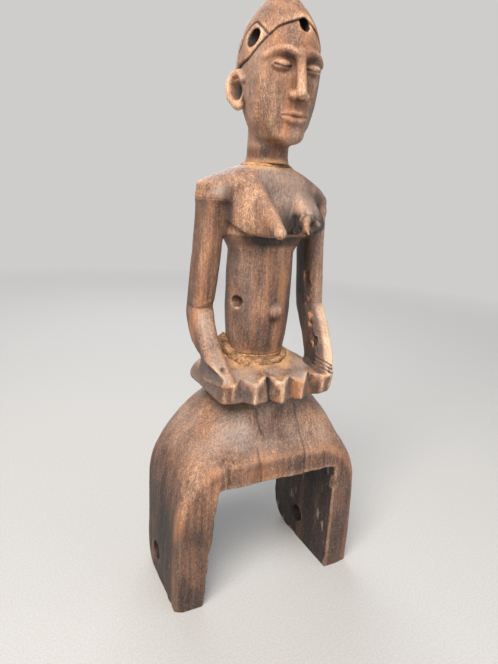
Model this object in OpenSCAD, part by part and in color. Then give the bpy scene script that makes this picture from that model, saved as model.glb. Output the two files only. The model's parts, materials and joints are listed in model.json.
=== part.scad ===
// Carved female figure seated on a two-legged stirrup, the holder of a loom's pulley.
// Lengths are in millimetres. +Z is up, the figure faces -Y and its feet stand on Z = 0.
// X = 0 is the figure's own middle plane. Right and left are the figure's, so right is -X.

/* [Stirrup] */
// Width across the outsides of both legs
stirrup_w = 75; // [70:0.5:82]
// Depth of the legs from front to back
stirrup_d = 43; // [38:0.5:48]
// Height of the crown's flat top over the ground
stirrup_h = 77; // [72:0.5:84]
// Height at which the legs start to round over into the crown
spring_h = 40; // [34:0.5:46]
// Width of the crown's flat top
crown_w = 24; // [18:0.5:32]
// Depth of the crown's flat top
crown_d = 33; // [28:0.5:37]
// Width of the fork at the ground
fork_foot_w = 54; // [46:0.5:56]
// Width of the fork under its roof
fork_roof_w = 49; // [42:0.5:54]
// Height of the fork's roof over the ground
fork_h = 46.5; // [40:0.5:52]
// Radius of the fork's two upper corners
fork_r = 1.5; // [1:0.5:6]
// Distance by which the fork's roof is shifted towards the figure's left
fork_lean = 2.2; // [0:0.1:4]
// Length by which each heel is rounded off behind
heel_l = 11; // [6:0.5:14]
// Height to which each heel is rounded off
heel_h = 14; // [8:0.5:20]

/* [Axle bore] */
// Diameter of the axle bore through both legs
axle_d = 7; // [4:0.1:9]
// Height of the axle bore's centre over the ground
axle_h = 10.5; // [8:0.5:16]
// Distance of the axle bore behind the middle of the legs
axle_back = 2; // [-2:0.5:4]

/* [Lap plate] */
// Width of the plate from side to side
plate_w = 48.4; // [46:0.2:52]
// Distance from the torso's axis to the foremost tooth tip
plate_front = 24.8; // [22:0.2:27]
// Distance from the torso's axis to the plate's back edge
plate_back = 13.5; // [12.6:0.2:16]
// Height of the plate's rim
plate_t = 7; // [5:0.5:9]
// Rise of the plate's top from the rim to the torso
plate_rise = 5.5; // [3:0.5:8]
// Number of carved teeth along the front edge
tooth_count = 6; // [4:1:8]
// Distance from one tooth tip to the next
tooth_pitch = 8.2; // [5:0.1:8.4]
// Depth of the notches between the teeth
tooth_depth = 4.3; // [2:0.1:6]
// Share of the notches' depth that is left at the plate's underside
notch_run = 0.4; // [0.1:0.05:1]
// Sideways shift of the row of teeth
tooth_shift = 2; // [0:0.1:2.4]
// Distance by which the front edge falls back at its ends
front_bow = 4.6; // [2:0.1:6]
// Inset of the plate's underside from its widest outline
plate_undercut = 1.4; // [0.5:0.1:2.5]

/* [Torso] */
// Width of the torso at the waist
waist_w = 24.6; // [21:0.2:28]
// Depth of the torso at the waist
waist_d = 22; // [19:0.2:24]
// Distance of the torso's axis behind the middle of the legs
torso_back = 2.5; // [0:0.5:4]
// Height of the torso from the waist to the neck
torso_h = 66; // [60:0.5:72]
// Width of the chest between the arms
chest_w = 32.2; // [29:0.2:34]
// Depth of the chest
chest_d = 23; // [20:0.2:25]
// Height of the chest from its underside to the neck
chest_h = 25.5; // [22:0.5:29]
// Width across the shoulder caps
shoulder_w = 50.6; // [50:0.2:56]
// Height of the shoulder caps from the arms' seats to the neck
cap_h = 11.5; // [9:0.5:14]
// Reach of the breasts in front of the waist
bust_reach = 16; // [9:0.5:19]
// Distance between the tips of the breasts
bust_spread = 13.6; // [9:0.2:18]
// Height of the neck's seat above the tips of the breasts
bust_drop = 20.3; // [17:0.1:22]
// Radius of the tips of the breasts
bust_tip_r = 2.4; // [1.4:0.1:3]
// Radius of the breasts at their outer roots
bust_root_r = 3.2; // [2.4:0.1:4.5]
// Radius of the slope from the shoulder where it starts
bust_slope_r = 4; // [3:0.1:5]
// Diameter of the navel
navel_d = 5.2; // [3:0.1:7]
// Height of the navel above the torso's foot
navel_h = 17; // [12:0.5:24]

/* [Arms] */
// Width of the arms at the shoulder
arm_w = 8.8; // [7:0.1:9]
// Width of the arms at the elbow
elbow_w = 8.4; // [6.5:0.1:9]
// Depth of the arms at the shoulder
arm_d = 10.6; // [8:0.1:12]
// Depth of the arms at the elbow
elbow_d = 9.6; // [7:0.1:11]
// Height of the seam at the elbow above the torso's foot
elbow_h = 17.5; // [12:0.5:24]
// Distance by which the elbows stand out from the shoulders
elbow_out = 2.5; // [0:0.1:4]
// Width of the wrists
wrist_w = 7.2; // [5:0.1:8]
// Depth of the wrists
wrist_d = 10; // [7:0.1:11]
// Height of the wrist's seam above the plate's rim
wrist_h = 4; // [3:0.5:6]
// Distance of the wrists in front of the torso's axis
wrist_front = 15.5; // [12:0.5:17]

/* [Head] */
// Diameter of the neck
neck_d = 14.8; // [13:0.2:17]
// Length of the neck up to the chin
neck_l = 5.5; // [3:0.5:10]
// Height of the head from chin to crown
head_h = 47; // [42:0.5:52]
// Width of the head
head_w = 26.8; // [25:0.2:31]
// Depth of the head
head_d = 29; // [27:0.5:33]
// Distance of the head's middle in front of the neck
head_front = 3.5; // [2:0.5:5]
// Height of the ears
ear_h = 15; // [11:0.5:18]
// Depth of the ears from front to back
ear_d = 9; // [6:0.5:11]
// Distance by which the ears stand out
ear_out = 4.4; // [2:0.1:5]
// Height of the ears' middle above the chin
ear_rise = 15; // [12:0.5:20]
// Length of the nose
nose_l = 13.4; // [10:0.2:15]
// Width of the nose at its foot
nose_w = 6.8; // [5:0.2:9]
// Distance by which the nose stands out
nose_out = 3.4; // [2:0.1:4]
// Height of the nose's foot above the chin
nose_rise = 13.2; // [11:0.2:16]
// Diameter of the cord bore through the hair cap
cord_d = 5.2; // [3:0.1:6]
// Distance of the cord bore below the crown
cord_drop = 16.2; // [15:0.2:18]
// Distance of the cord bore in front of the neck
cord_front = 7.5; // [4:0.5:8]
// Diameter of the blind hole above the forehead
brow_hole_d = 4; // [2:0.1:5]
// Depth of the blind hole above the forehead
brow_hole_l = 4; // [3:0.5:5]
// Distance of the blind hole below the crown
brow_hole_drop = 11.5; // [10:0.1:12]
// Distance of the blind hole from the middle plane towards the figure's left
brow_hole_side = 2.2; // [0:0.1:3]

/* [Joints] */
// Thickness of the filler rings at waist and neck
filler_t = 1; // [0.6:0.1:1.6]
// Distance by which the filler rings stand proud
filler_lip = 0.6; // [0.2:0.1:1]
// Diameter of the peg through torso, plate and stirrup
spine_d = 8; // [6:0.1:10]
// Depth of the spine peg in the stirrup's crown
spine_seat = 14; // [10:0.5:18]
// Length of the spine peg inside the torso
spine_rise = 18; // [12:0.5:26]
// Diameter of the neck peg
neck_peg_d = 6; // [4:0.1:8]
// Depth of the neck peg on each side of its seam
neck_peg_seat = 12; // [8:0.5:15]
// Diameter of the arm pegs
arm_peg_d = 3; // [2:0.1:4]
// Depth of the arm pegs on each side of their seams
arm_peg_seat = 4; // [2.5:0.1:5]
// Gap between a peg and its socket
peg_gap = 0.05; // [0.02:0.01:0.1]
// Gap between an arm and its neighbours
arm_gap = 0.1; // [0.05:0.05:0.3]

/* [Hidden] */

// Smoothness of round holes and of the lofted forms
$fn = 48;
loft_sides = 48;
ball_sides = 24;
edge_steps = 6;
rear_steps = 24;
heel_steps = 4;
crown_steps = 10;
arm_steps = 6;
neck_steps = 3;
// Length by which a cut runs past the face that it opens
cut_past = 1;

// Powers of the outlines: 2 is an ellipse, and a high power nears a rectangle
leg_front_power = 20;
leg_back_power = 6;
crown_front_power = 2.6;
crown_back_power = 2.4;
rear_power = 3.2;
upper_arm_power = 3.4;
forearm_power = 3.2;
face_power = 2.3;
skull_power = 2.1;
ear_power = 2.2;

// Powers by which a form changes slowly at first and faster later
crown_ease = 2.2;
front_ease = 2.5;
elbow_ease = 1.5;
wrist_ease = 1.6;
forearm_ease = 1.3;

// Heights of the seams, from the ground up
plate_z = stirrup_h;
rim_z = plate_z + plate_t;
waist_z = rim_z + plate_rise;
torso_z = waist_z + filler_t;
neck_z = torso_z + torso_h;
head_z = neck_z + filler_t;
chin_z = head_z + neck_l;
crown_z = chin_z + head_h;
chest_z = neck_z - chest_h;
cap_z = neck_z - cap_h;
elbow_z = torso_z + elbow_h;
wrist_z = rim_z + wrist_h;

// Places in the middle plane, measured from the middle of the legs
torso_y = torso_back;
bust_y = torso_y - waist_d / 2 - bust_reach;
head_y = torso_y - head_front;
wrist_y = torso_y - wrist_front;
cord_z = crown_z - cord_drop;
cord_y = torso_y - cord_front;

// Places of the arms' centre lines
shoulder_x = chest_w / 2 + arm_gap + arm_w / 2;
elbow_x = shoulder_x + elbow_out;
wrist_x = plate_w / 2 - wrist_w / 2 + plate_undercut / 2;

// Shift that puts the whole figure's box over the origin
frame_y = -(bust_y + stirrup_d / 2) / 2;

// Colours of the worn wood, the dusty filler and the pegs
dark_wood = [0.33, 0.22, 0.16];
red_wood = [0.42, 0.26, 0.19];
worn_wood = [0.53, 0.36, 0.26];
filler_tan = [0.62, 0.46, 0.28];
peg_wood = [0.58, 0.43, 0.29];

// Linear step from one value to another
function mix(from, to, share) = from + (to - from) * share;

// One coordinate of a superellipse: power 2 is an ellipse, and a high power nears a rectangle
function super(part, power) = sign(part) * pow(abs(part), 2 / power);

// Flat ring round (x, y) at height z, with its own reach and power to the front and the back
function ring(x, y, z, half_w, front, back, front_power, back_power) =
    [for (i = [0 : loft_sides - 1])
        let (
            turn = 360 * i / loft_sides,
            reach = sin(turn) < 0 ? front : back,
            power = sin(turn) < 0 ? front_power : back_power
        )
        [x + half_w * super(cos(turn), power), y + reach * super(sin(turn), power), z]];

// Ring that is the same to the front and the back
function oval(x, y, z, half_w, half_d, power) = ring(x, y, z, half_w, half_d, half_d, power, power);

// Closed solid through a stack of rings that have equal numbers of points
module loft(rings) {
    sides = len(rings[0]);
    last = len(rings) - 1;
    points = [for (r = rings) each r];
    walls = [for (k = [0 : last - 1], i = [0 : sides - 1])
        let (j = (i + 1) % sides, low = k * sides, high = low + sides)
        each [[low + i, high + i, high + j], [low + i, high + j, low + j]]];
    floor_face = [for (i = [0 : sides - 1]) i];
    roof_face = [for (i = [sides - 1 : -1 : 0]) last * sides + i];
    polyhedron(points, concat([floor_face], walls, [roof_face]));
}

// Both sides of a pair, the right one mirrored from the left
module pair() {
    children();
    mirror([1, 0, 0]) children();
}

// Upright peg between two heights, thinner than its socket by the named gap
module peg(diameter, low, high) {
    translate([0, 0, low]) cylinder(d = diameter - 2 * peg_gap, h = high - low);
}

// Socket for a peg between two heights
module socket(diameter, low, high) {
    translate([0, 0, low]) cylinder(d = diameter, h = high - low);
}

// Ring of the stirrup at height z: straight legs, then a crown that rounds over on all sides
function stirrup_ring(z) =
    let (
        rise = max(0, z - spring_h) / (stirrup_h - spring_h),
        crown_share = crown_w / stirrup_w,
        half_w = stirrup_w / 2 * sqrt(1 - rise * rise * (1 - crown_share * crown_share)),
        half_d = mix(stirrup_d / 2, crown_d / 2, pow(rise, crown_ease)),
        lift = max(0, 1 - z / heel_h),
        back = half_d - heel_l * (1 - sqrt(1 - lift * lift)),
        front_power = mix(crown_front_power, leg_front_power, pow(1 - rise, front_ease)),
        back_power = mix(crown_back_power, leg_back_power, 1 - rise)
    )
    ring(0, 0, z, half_w, half_d, back, front_power, back_power);

// Heights of the stirrup's rings, closer at the heels and near the top
heel_heights = [for (k = [0 : heel_steps]) heel_h * (1 - cos(90 * k / heel_steps))];
leg_heights = [(heel_h + spring_h) / 2];
crown_heights = [for (k = [0 : crown_steps]) mix(spring_h, stirrup_h, sin(90 * k / crown_steps))];

// Outline of the fork seen from the front, with round upper corners
function fork_corner(side) =
    [for (k = [0 : edge_steps])
        let (turn = 90 * k / edge_steps)
        [fork_lean + side * (fork_roof_w / 2 - fork_r * (1 - cos(turn))),
            fork_h - fork_r * (1 - sin(turn))]];
function reversed(points) = [for (i = [len(points) - 1 : -1 : 0]) points[i]];
fork_outline = concat(
    [[-fork_foot_w / 2, -cut_past], [fork_foot_w / 2, -cut_past]],
    fork_corner(1),
    reversed(fork_corner(-1)));

module stirrup() color(dark_wood) difference() {
    loft([for (z = concat(heel_heights, leg_heights, crown_heights)) stirrup_ring(z)]);
    translate([0, stirrup_d, 0]) rotate([90, 0, 0])
        linear_extrude(2 * stirrup_d) polygon(fork_outline);
    translate([-stirrup_w, axle_back, axle_h]) rotate([0, 90, 0])
        cylinder(d = axle_d, h = 2 * stirrup_w);
    socket(spine_d, stirrup_h - spine_seat, stirrup_h + cut_past);
}

// Outline of the lap plate without its notches, round the torso's axis: each point holds
// its X, its Y and how far a notch cuts in there
function front_edge(x) = -plate_front + front_bow * pow(2 * x / plate_w, 2);
tooth_points = [for (k = [0 : 2 * tooth_count - 2])
    let (x = tooth_shift + (k / 2 - (tooth_count - 1) / 2) * tooth_pitch)
    [x, front_edge(x), k % 2 == 0 ? 0 : tooth_depth]];
rear_points = [for (k = [0 : rear_steps])
    let (turn = 180 * k / rear_steps)
    [plate_w / 2 * super(cos(turn), rear_power), plate_back * super(sin(turn), rear_power), 0]];
corner_y = front_edge(plate_w / 2) + tooth_depth;
left_corner = [plate_w / 2, corner_y, 0];
right_corner = [-plate_w / 2, corner_y, 0];
plate_outline = concat([left_corner], rear_points, [right_corner], tooth_points);

// Share of the rim's height at which the plate is widest, and of its top at which a ring is laid
rim_swell = 0.45;
top_step = 0.6;

// Point of the waist in the same direction as a point of the plate
function waist_point(p) =
    let (turn = atan2(p[1] / waist_d, p[0] / waist_w))
    [waist_w / 2 * cos(turn), waist_d / 2 * sin(turn)];

// Share of the way from the outline to the waist at which a notch ends
function notch_share(p) = p[2] / norm([p[0], p[1]] - waist_point(p));

// Point at a share of the way from the outline to the waist, on the sloping top if z isn't given
function plate_point(p, share, z) =
    let (q = mix([p[0], p[1]], waist_point(p), share))
    [q[0], torso_y + q[1], is_undef(z) ? mix(rim_z, waist_z, share) : z];

// Wall ring with a share of the notches in it, drawn in by an inset, and ring on the smooth top
function wall_ring(z, inset, run) =
    [for (p = plate_outline) plate_point(p * (1 - 2 * inset / plate_w), run * notch_share(p), z)];
function top_ring(share) = [for (p = plate_outline) plate_point(p, max(share, notch_share(p)))];

// Ring of the hand at height z, moved inwards and forwards by a share of the wrist
function hand_ring(z, lean) =
    oval(wrist_x - wrist_w * lean, wrist_y - wrist_d * lean, z, wrist_w / 2, wrist_d / 2, forearm_power);

// Hand that grows out of the plate's front corner up to the wrist's seam
hand_lean = 0.25;
module hand() {
    loft([
        hand_ring(rim_z - plate_t / 2, hand_lean),
        hand_ring(rim_z, hand_lean / 2),
        hand_ring(wrist_z, 0)]);
}

module lap_plate() color(worn_wood) difference() {
    union() {
        loft([
            wall_ring(plate_z, plate_undercut, notch_run),
            wall_ring(mix(plate_z, rim_z, rim_swell), 0, 1),
            top_ring(0),
            top_ring(top_step),
            top_ring(1)]);
        pair() hand();
    }
    socket(spine_d, plate_z - cut_past, waist_z + cut_past);
}

// Ring of the torso round its own axis
function torso_ring(z, width, depth, power) = oval(0, torso_y, z, width / 2, depth / 2, power);

// Waist: share of the way up to the chest, of the waist's width and depth, and power
waist = [
    [0.00, 0.86, 0.87, 2],
    [0.15, 0.94, 0.95, 2.1],
    [0.40, 1.00, 1.00, 2.1],
    [0.70, 1.00, 1.00, 2.1],
    [0.92, 0.99, 0.96, 2.1]];
waist_rings = [for (s = waist)
    torso_ring(mix(torso_z, chest_z, s[0]), waist_w * s[1], waist_d * s[2], s[3])];

// Chest: share of the way up from its underside to the arms' seats, of its width and depth, power
chest = [
    [0.00, 0.90, 0.96, 2.2],
    [0.15, 1.00, 1.00, 2.8],
    [1.00, 1.00, 1.00, 2.8],
    [1.40, 0.80, 0.80, 2.8]];
chest_rings = [for (s = chest)
    torso_ring(mix(chest_z, cap_z, s[0]), chest_w * s[1], chest_d * s[2], s[3])];

// Shoulders: share of the way up to the neck, of the way out from the neck, depth, and power
neck_flare = 4 * filler_lip;
shoulders = [
    [0.00, 1.00, 0.91, 2.8],
    [0.42, 1.00, 0.91, 2.6],
    [0.62, 0.76, 0.87, 2.4],
    [0.85, 0.40, 0.83, 2.2],
    [1.00, 0.00, 0.74, 2]];
shoulder_rings = [for (s = shoulders)
    torso_ring(mix(cap_z, neck_z, s[0]), mix(neck_d + neck_flare, shoulder_w, s[1]), chest_d * s[2], s[3])];

// Breast as a wedge with a flat underside: places of its tip, of its roots on the chest's outside
// and in the cleft, of the slope's start on the shoulder and of the ridge's start at the neck
bust_tip = [bust_spread / 2, bust_y + bust_tip_r, neck_z - bust_drop];
bust_floor = bust_tip[2] - bust_tip_r;
bust_root = [chest_w / 2 - bust_root_r, torso_y - chest_d / 4, bust_floor + bust_root_r];
bust_cleft = [bust_tip_r, torso_y - chest_d / 4, bust_floor + bust_tip_r];
bust_slope = [chest_w / 2 - 1.5 * bust_slope_r, torso_y - chest_d / 5, neck_z - chest_h / 4];
bust_ridge = [neck_d / 3, torso_y - neck_d / 2, neck_z - cap_h / 3];
module ball(place, radius) translate(place) sphere(radius, $fn = ball_sides);
module breast() {
    hull() {
        ball(bust_tip, bust_tip_r);
        ball(bust_root, bust_root_r);
        ball(bust_cleft, bust_tip_r);
        ball(bust_slope, bust_slope_r);
        ball(bust_ridge, bust_tip_r);
    }
}

module torso() color(red_wood) difference() {
    union() {
        loft(concat(waist_rings, chest_rings));
        loft(shoulder_rings);
        pair() breast();
        translate([0, torso_y - waist_d / 2, torso_z + navel_h]) sphere(d = navel_d);
    }
    socket(spine_d, torso_z - cut_past, torso_z + spine_rise);
    translate([0, torso_y, 0]) socket(neck_peg_d, neck_z - neck_peg_seat, neck_z + cut_past);
    pair() translate([shoulder_x, torso_y, 0]) socket(arm_peg_d, cap_z - cut_past, cap_z + arm_peg_seat);
}

// Upper arm from the shoulder's seat down to the elbow's seam, drawn on the left
function upper_arm_ring(z, drop) =
    oval(mix(shoulder_x, elbow_x, pow(drop, elbow_ease)), torso_y, z,
        mix(arm_w, elbow_w, drop) / 2, mix(arm_d, elbow_d, drop) / 2, upper_arm_power);
module upper_arm() {
    top_z = cap_z - arm_gap;
    difference() {
        loft([for (k = [0 : arm_steps])
            upper_arm_ring(mix(elbow_z, top_z, k / arm_steps), 1 - k / arm_steps)]);
        translate([shoulder_x, torso_y, 0]) socket(arm_peg_d, top_z - arm_peg_seat, top_z + cut_past);
        translate([elbow_x, torso_y, 0]) socket(arm_peg_d, elbow_z - cut_past, elbow_z + arm_peg_seat);
    }
}

// Forearm from the elbow's seam forward and down to the wrist's seam, drawn on the left
forearm_swell = elbow_d / 6;
function forearm_ring(z, drop) =
    oval(mix(elbow_x, wrist_x, pow(drop, wrist_ease)), mix(torso_y, wrist_y, pow(drop, forearm_ease)), z,
        mix(elbow_w, wrist_w, drop) / 2,
        mix(elbow_d, wrist_d, drop) / 2 + forearm_swell * sin(180 * drop), forearm_power);
module forearm() {
    top_z = elbow_z - arm_gap;
    low_z = wrist_z + arm_gap;
    difference() {
        loft([for (k = [0 : arm_steps])
            forearm_ring(mix(low_z, top_z, k / arm_steps), 1 - k / arm_steps)]);
        translate([elbow_x, torso_y, 0]) socket(arm_peg_d, top_z - arm_peg_seat, top_z + cut_past);
    }
}

module left_upper_arm() color(red_wood) upper_arm();
module right_upper_arm() color(red_wood) mirror([1, 0, 0]) upper_arm();
module left_forearm() color(worn_wood) forearm();
module right_forearm() color(worn_wood) mirror([1, 0, 0]) forearm();

// Skull from chin to crown: share of the height, of the width, of the reach forward and back
skull = [
    [0.00, 0.34, 0.50, 0.10],
    [0.05, 0.52, 0.84, 0.34],
    [0.14, 0.70, 0.94, 0.52],
    [0.27, 0.86, 0.95, 0.72],
    [0.42, 0.97, 0.94, 0.92],
    [0.53, 1.00, 0.95, 1.00],
    [0.65, 0.93, 0.89, 0.99],
    [0.77, 0.78, 0.75, 0.90],
    [0.85, 0.59, 0.57, 0.73],
    [0.93, 0.34, 0.33, 0.46],
    [1.00, 0.06, 0.07, 0.08]];
function skull_ring(s) =
    ring(0, head_y, mix(chin_z, crown_z, s[0]), head_w / 2 * s[1],
        head_d / 2 * s[2], head_d / 2 * s[3], face_power, skull_power);
face_y = head_y - head_d / 2 * skull[4][2];
brow_hole_y = head_y - head_d / 2 * skull[7][2] + brow_hole_l;

// Ear as a low rounded flap on the side of the head, drawn on the left
ear_x = head_w / 2 * skull[4][1];
ear_y = (torso_y + head_y) / 2;
ear_tilt = 80;
ear_edge = 0.5;
module ear() {
    loft([for (k = [0 : arm_steps])
        let (turn = mix(-ear_tilt, ear_tilt, k / arm_steps))
        oval(ear_x, ear_y, chin_z + ear_rise + ear_h / 2 * sin(turn),
            ear_out * mix(ear_edge, 1, cos(turn)), ear_d / 2 * cos(turn), ear_power)]);
}

// Nose as a long wedge down the middle of the face, narrow and low at the bridge
bridge_w = 0.5;
bridge_out = 0.35;
module nose() {
    loft([for (k = [0 : edge_steps])
        let (rise = k / edge_steps, out = nose_out * mix(1, bridge_out, rise))
        oval(0, face_y + nose_out / 2, chin_z + nose_rise + nose_l * rise,
            nose_w / 2 * mix(1, bridge_w, rise), out + nose_out / 2, 2)]);
}

// Neck from its seam up into the skull
neck_top = chin_z + ear_rise;
module head() color(worn_wood) difference() {
    union() {
        loft([for (k = [0 : neck_steps])
            oval(0, torso_y, mix(head_z, neck_top, k / neck_steps), neck_d / 2, neck_d / 2, 2)]);
        loft([for (s = skull) skull_ring(s)]);
        pair() ear();
        nose();
    }
    translate([0, torso_y, 0]) socket(neck_peg_d, head_z - cut_past, head_z + neck_peg_seat);
    translate([-head_w, cord_y, cord_z]) rotate([0, 90, 0]) cylinder(d = cord_d, h = 2 * head_w);
    translate([brow_hole_side, brow_hole_y, crown_z - brow_hole_drop])
        rotate([90, 0, 0]) cylinder(d = brow_hole_d, h = head_d);
}

// Filler ring between two seams, round a peg
module filler_ring(low, half_w, half_d, peg_d, peg_y) {
    difference() {
        loft([
            oval(0, torso_y, low, half_w, half_d, 2),
            oval(0, torso_y, low + filler_t / 2, half_w + filler_lip, half_d + filler_lip, 2),
            oval(0, torso_y, low + filler_t, half_w, half_d, 2)]);
        translate([0, peg_y, 0]) socket(peg_d, low - cut_past, low + filler_t + cut_past);
    }
}

module waist_filler() color(filler_tan) filler_ring(waist_z, waist_w / 2, waist_d / 2, spine_d, 0);
module neck_filler() color(filler_tan)
    filler_ring(neck_z, neck_d / 2 + filler_t, neck_d / 2 + filler_lip, neck_peg_d, torso_y);
module spine_peg() color(peg_wood) peg(spine_d, stirrup_h - spine_seat, torso_z + spine_rise);
module neck_peg() color(peg_wood) translate([0, torso_y, 0])
    peg(neck_peg_d, neck_z - neck_peg_seat, head_z + neck_peg_seat);
module shoulder_pegs() color(peg_wood) pair() translate([shoulder_x, torso_y, 0])
    peg(arm_peg_d, cap_z - arm_gap - arm_peg_seat, cap_z + arm_peg_seat);
module elbow_pegs() color(peg_wood) pair() translate([elbow_x, torso_y, 0])
    peg(arm_peg_d, elbow_z - arm_gap - arm_peg_seat, elbow_z + arm_peg_seat);

// Moves a piece from the middle of the legs to the figure's own frame
module placed() translate([0, frame_y, 0]) children();

placed() stirrup();
placed() lap_plate();
placed() torso();
placed() head();
placed() right_upper_arm();
placed() left_upper_arm();
placed() right_forearm();
placed() left_forearm();
placed() waist_filler();
placed() neck_filler();
placed() spine_peg();
placed() neck_peg();
placed() shoulder_pegs();
placed() elbow_pegs();
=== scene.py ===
"""Carved wooden figure on a pulley stirrup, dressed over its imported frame.

Each carved piece is a field of distances in millimetres on a regular grid. Forms are joined, cut and
roughened in the field, and its zero surface becomes a closed mesh. Neighbours share one field and are
parted by flat seams, so a form runs on over a seam. +Z is up, the figure faces -Y and its left is +X.
"""

import functools
import itertools
import json
import math

import bpy
import numpy as np
from mathutils import Matrix, Vector


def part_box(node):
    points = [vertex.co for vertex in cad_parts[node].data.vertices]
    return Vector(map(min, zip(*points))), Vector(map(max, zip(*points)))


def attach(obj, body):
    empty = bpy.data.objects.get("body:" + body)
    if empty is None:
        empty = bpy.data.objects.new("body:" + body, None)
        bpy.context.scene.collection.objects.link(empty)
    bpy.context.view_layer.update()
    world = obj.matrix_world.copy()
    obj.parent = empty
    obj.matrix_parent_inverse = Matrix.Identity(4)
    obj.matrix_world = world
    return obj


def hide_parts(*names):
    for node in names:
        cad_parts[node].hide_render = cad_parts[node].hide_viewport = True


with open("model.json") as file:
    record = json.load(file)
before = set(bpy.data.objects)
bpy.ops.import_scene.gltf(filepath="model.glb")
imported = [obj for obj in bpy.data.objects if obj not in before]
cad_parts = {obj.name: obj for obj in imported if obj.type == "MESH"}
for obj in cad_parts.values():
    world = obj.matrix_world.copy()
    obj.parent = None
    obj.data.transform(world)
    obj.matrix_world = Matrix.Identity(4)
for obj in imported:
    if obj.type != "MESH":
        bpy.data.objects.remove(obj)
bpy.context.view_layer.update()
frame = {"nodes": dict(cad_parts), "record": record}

MM = 0.001


# Places taken from the frame, in millimetres

def corners(node):
    """Lowest and highest corner of a node."""
    low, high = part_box(node)
    return np.array(low) / MM, np.array(high) / MM


def mount(name):
    """Place and radius of one of the record's bores."""
    found = [m for m in frame["record"]["mounts"] if m["name"] == name][0]
    return np.array(found["pos_m"]) / MM, found["dims"]["r_mm"]


STIRRUP_LOW, STIRRUP_HIGH = corners("stirrup")
PLATE_LOW, PLATE_HIGH = corners("lap_plate")
TORSO_LOW, TORSO_HIGH = corners("torso")
HEAD_LOW, HEAD_HIGH = corners("head")
WAIST_LOW, WAIST_HIGH = corners("waist_filler")
NECK_LOW, NECK_HIGH = corners("neck_filler")
ARM_LOW, ARM_HIGH = corners("left_upper_arm")
FOREARM_LOW, FOREARM_HIGH = corners("left_forearm")
SPINE_LOW, SPINE_HIGH = corners("spine_peg")
AXLE, AXLE_R = mount("axle_bore")
CORD, CORD_R = mount("cord_bore")

LEG_Y = (STIRRUP_LOW[1] + STIRRUP_HIGH[1]) / 2
BODY_Y = (WAIST_LOW[1] + WAIST_HIGH[1]) / 2
PLATE_Z = PLATE_LOW[2]
WAIST_Z = WAIST_LOW[2]
TORSO_Z = TORSO_LOW[2]
NECK_Z = TORSO_HIGH[2]
HEAD_Z = HEAD_LOW[2]
CROWN_Z = HEAD_HIGH[2]
CAP_Z = ARM_HIGH[2]
ELBOW_Z = ARM_LOW[2]
WRIST_Z = FOREARM_LOW[2]
HALF_SHOULDER = TORSO_HIGH[0]
BUST_Y = TORSO_LOW[1]
ROOT = "root"


# Sizes that the frame doesn't give, in millimetres

SPRING_H = 40.0
CROWN_W, CROWN_D = 24.0, 33.0
FORK_FOOT_W, FORK_ROOF_W, FORK_H, FORK_R, FORK_LEAN = 54.0, 49.0, 46.5, 1.5, 2.2
HEEL_L, HEEL_H = 11.0, 14.0
PLATE_BACK, PLATE_T, PLATE_INSET, UNDERCUT = 13.5, 7.0, 0.5, 0.8
WAIST_W, WAIST_D = 24.6, 22.0
CHEST_W, CHEST_D, CHEST_H = 32.2, 23.0, 25.5
NECK_D, CHIN_UP = 14.8, 5.5
HEAD_W, HEAD_D, HEAD_FRONT = 26.8, 29.0, 3.5
SHOULDER_X, ELBOW_X, WRIST_X = 20.6, 23.1, 21.3
WRIST_FRONT = 15.5
ARM_PEG_R, NECK_PEG_R = 1.5, 3.0
PEG_SEAT, NECK_SEAT = 4.0, 12.0
LAP = 0.12

HALF_PLATE = PLATE_HIGH[0] - PLATE_INSET
CHIN_Z = HEAD_Z + CHIN_UP
HEAD_Y = BODY_Y - HEAD_FRONT
RIM_Z = PLATE_Z + PLATE_T
CHEST_Z = NECK_Z - CHEST_H
WRIST_Y = BODY_Y - WRIST_FRONT
SPINE_R = (SPINE_HIGH[0] - SPINE_LOW[0]) / 2
SPINE_Y = (SPINE_HIGH[1] + SPINE_LOW[1]) / 2
SIDES = (-1, 1)
PEGS = (
    (0, SPINE_Y, SPINE_R, SPINE_LOW[2], SPINE_HIGH[2]),
    (0, BODY_Y, NECK_PEG_R, NECK_Z - NECK_SEAT, HEAD_Z + NECK_SEAT),
    *((side * SHOULDER_X, BODY_Y, ARM_PEG_R, CAP_Z - PEG_SEAT, CAP_Z + PEG_SEAT) for side in SIDES),
    *((side * ELBOW_X, BODY_Y, ARM_PEG_R, ELBOW_Z - PEG_SEAT, ELBOW_Z + PEG_SEAT) for side in SIDES))


# Grids and fields

class Grid:
    """Regular grid of points, as three arrays that spread over each other."""

    def __init__(self, axes, step):
        self.axes = axes
        self.step = step
        self.origin = np.array([axis[0] for axis in axes])
        self.x, self.y, self.z = np.meshgrid(*axes, indexing="ij", sparse=True)

    def window(self, low, high):
        """Slices of the grid's own field between two corners, and the grid of that part."""
        slices = []
        for axis, a, b in zip(self.axes, low, high):
            first, last = np.searchsorted(axis, (a, b))
            slices.append(slice(max(first - 1, 0), last + 1))
        return tuple(slices), Grid([axis[part] for axis, part in zip(self.axes, slices)], self.step)


STIRRUP_STEP, PLATE_STEP, ARM_STEP, TORSO_STEP, HEAD_STEP, FILLER_STEP = 0.52, 0.30, 0.32, 0.38, 0.30, 0.25


def grid_round(low, high, step, margin=2.0):
    """Grid that covers a box and a margin round it."""
    return Grid([np.arange(a - margin, b + margin, step) for a, b in zip(low, high)], step)


def ease(low, high, value):
    """Ramp from 0 at low to 1 at high, level at both ends."""
    share = np.clip((value - low) / (high - low), 0, 1)
    return share * share * (3 - 2 * share)


def bell(value, centre, width):
    """1 at a centre, falling to nothing on both sides."""
    return np.exp(-((value - centre) / width) ** 2)


def join(a, b, blend):
    """Union of two fields, with a fillet about as wide as the blend."""
    share = np.clip(0.5 + 0.5 * (b - a) / blend, 0, 1)
    return b + (a - b) * share - blend * share * (1 - share)


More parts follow.
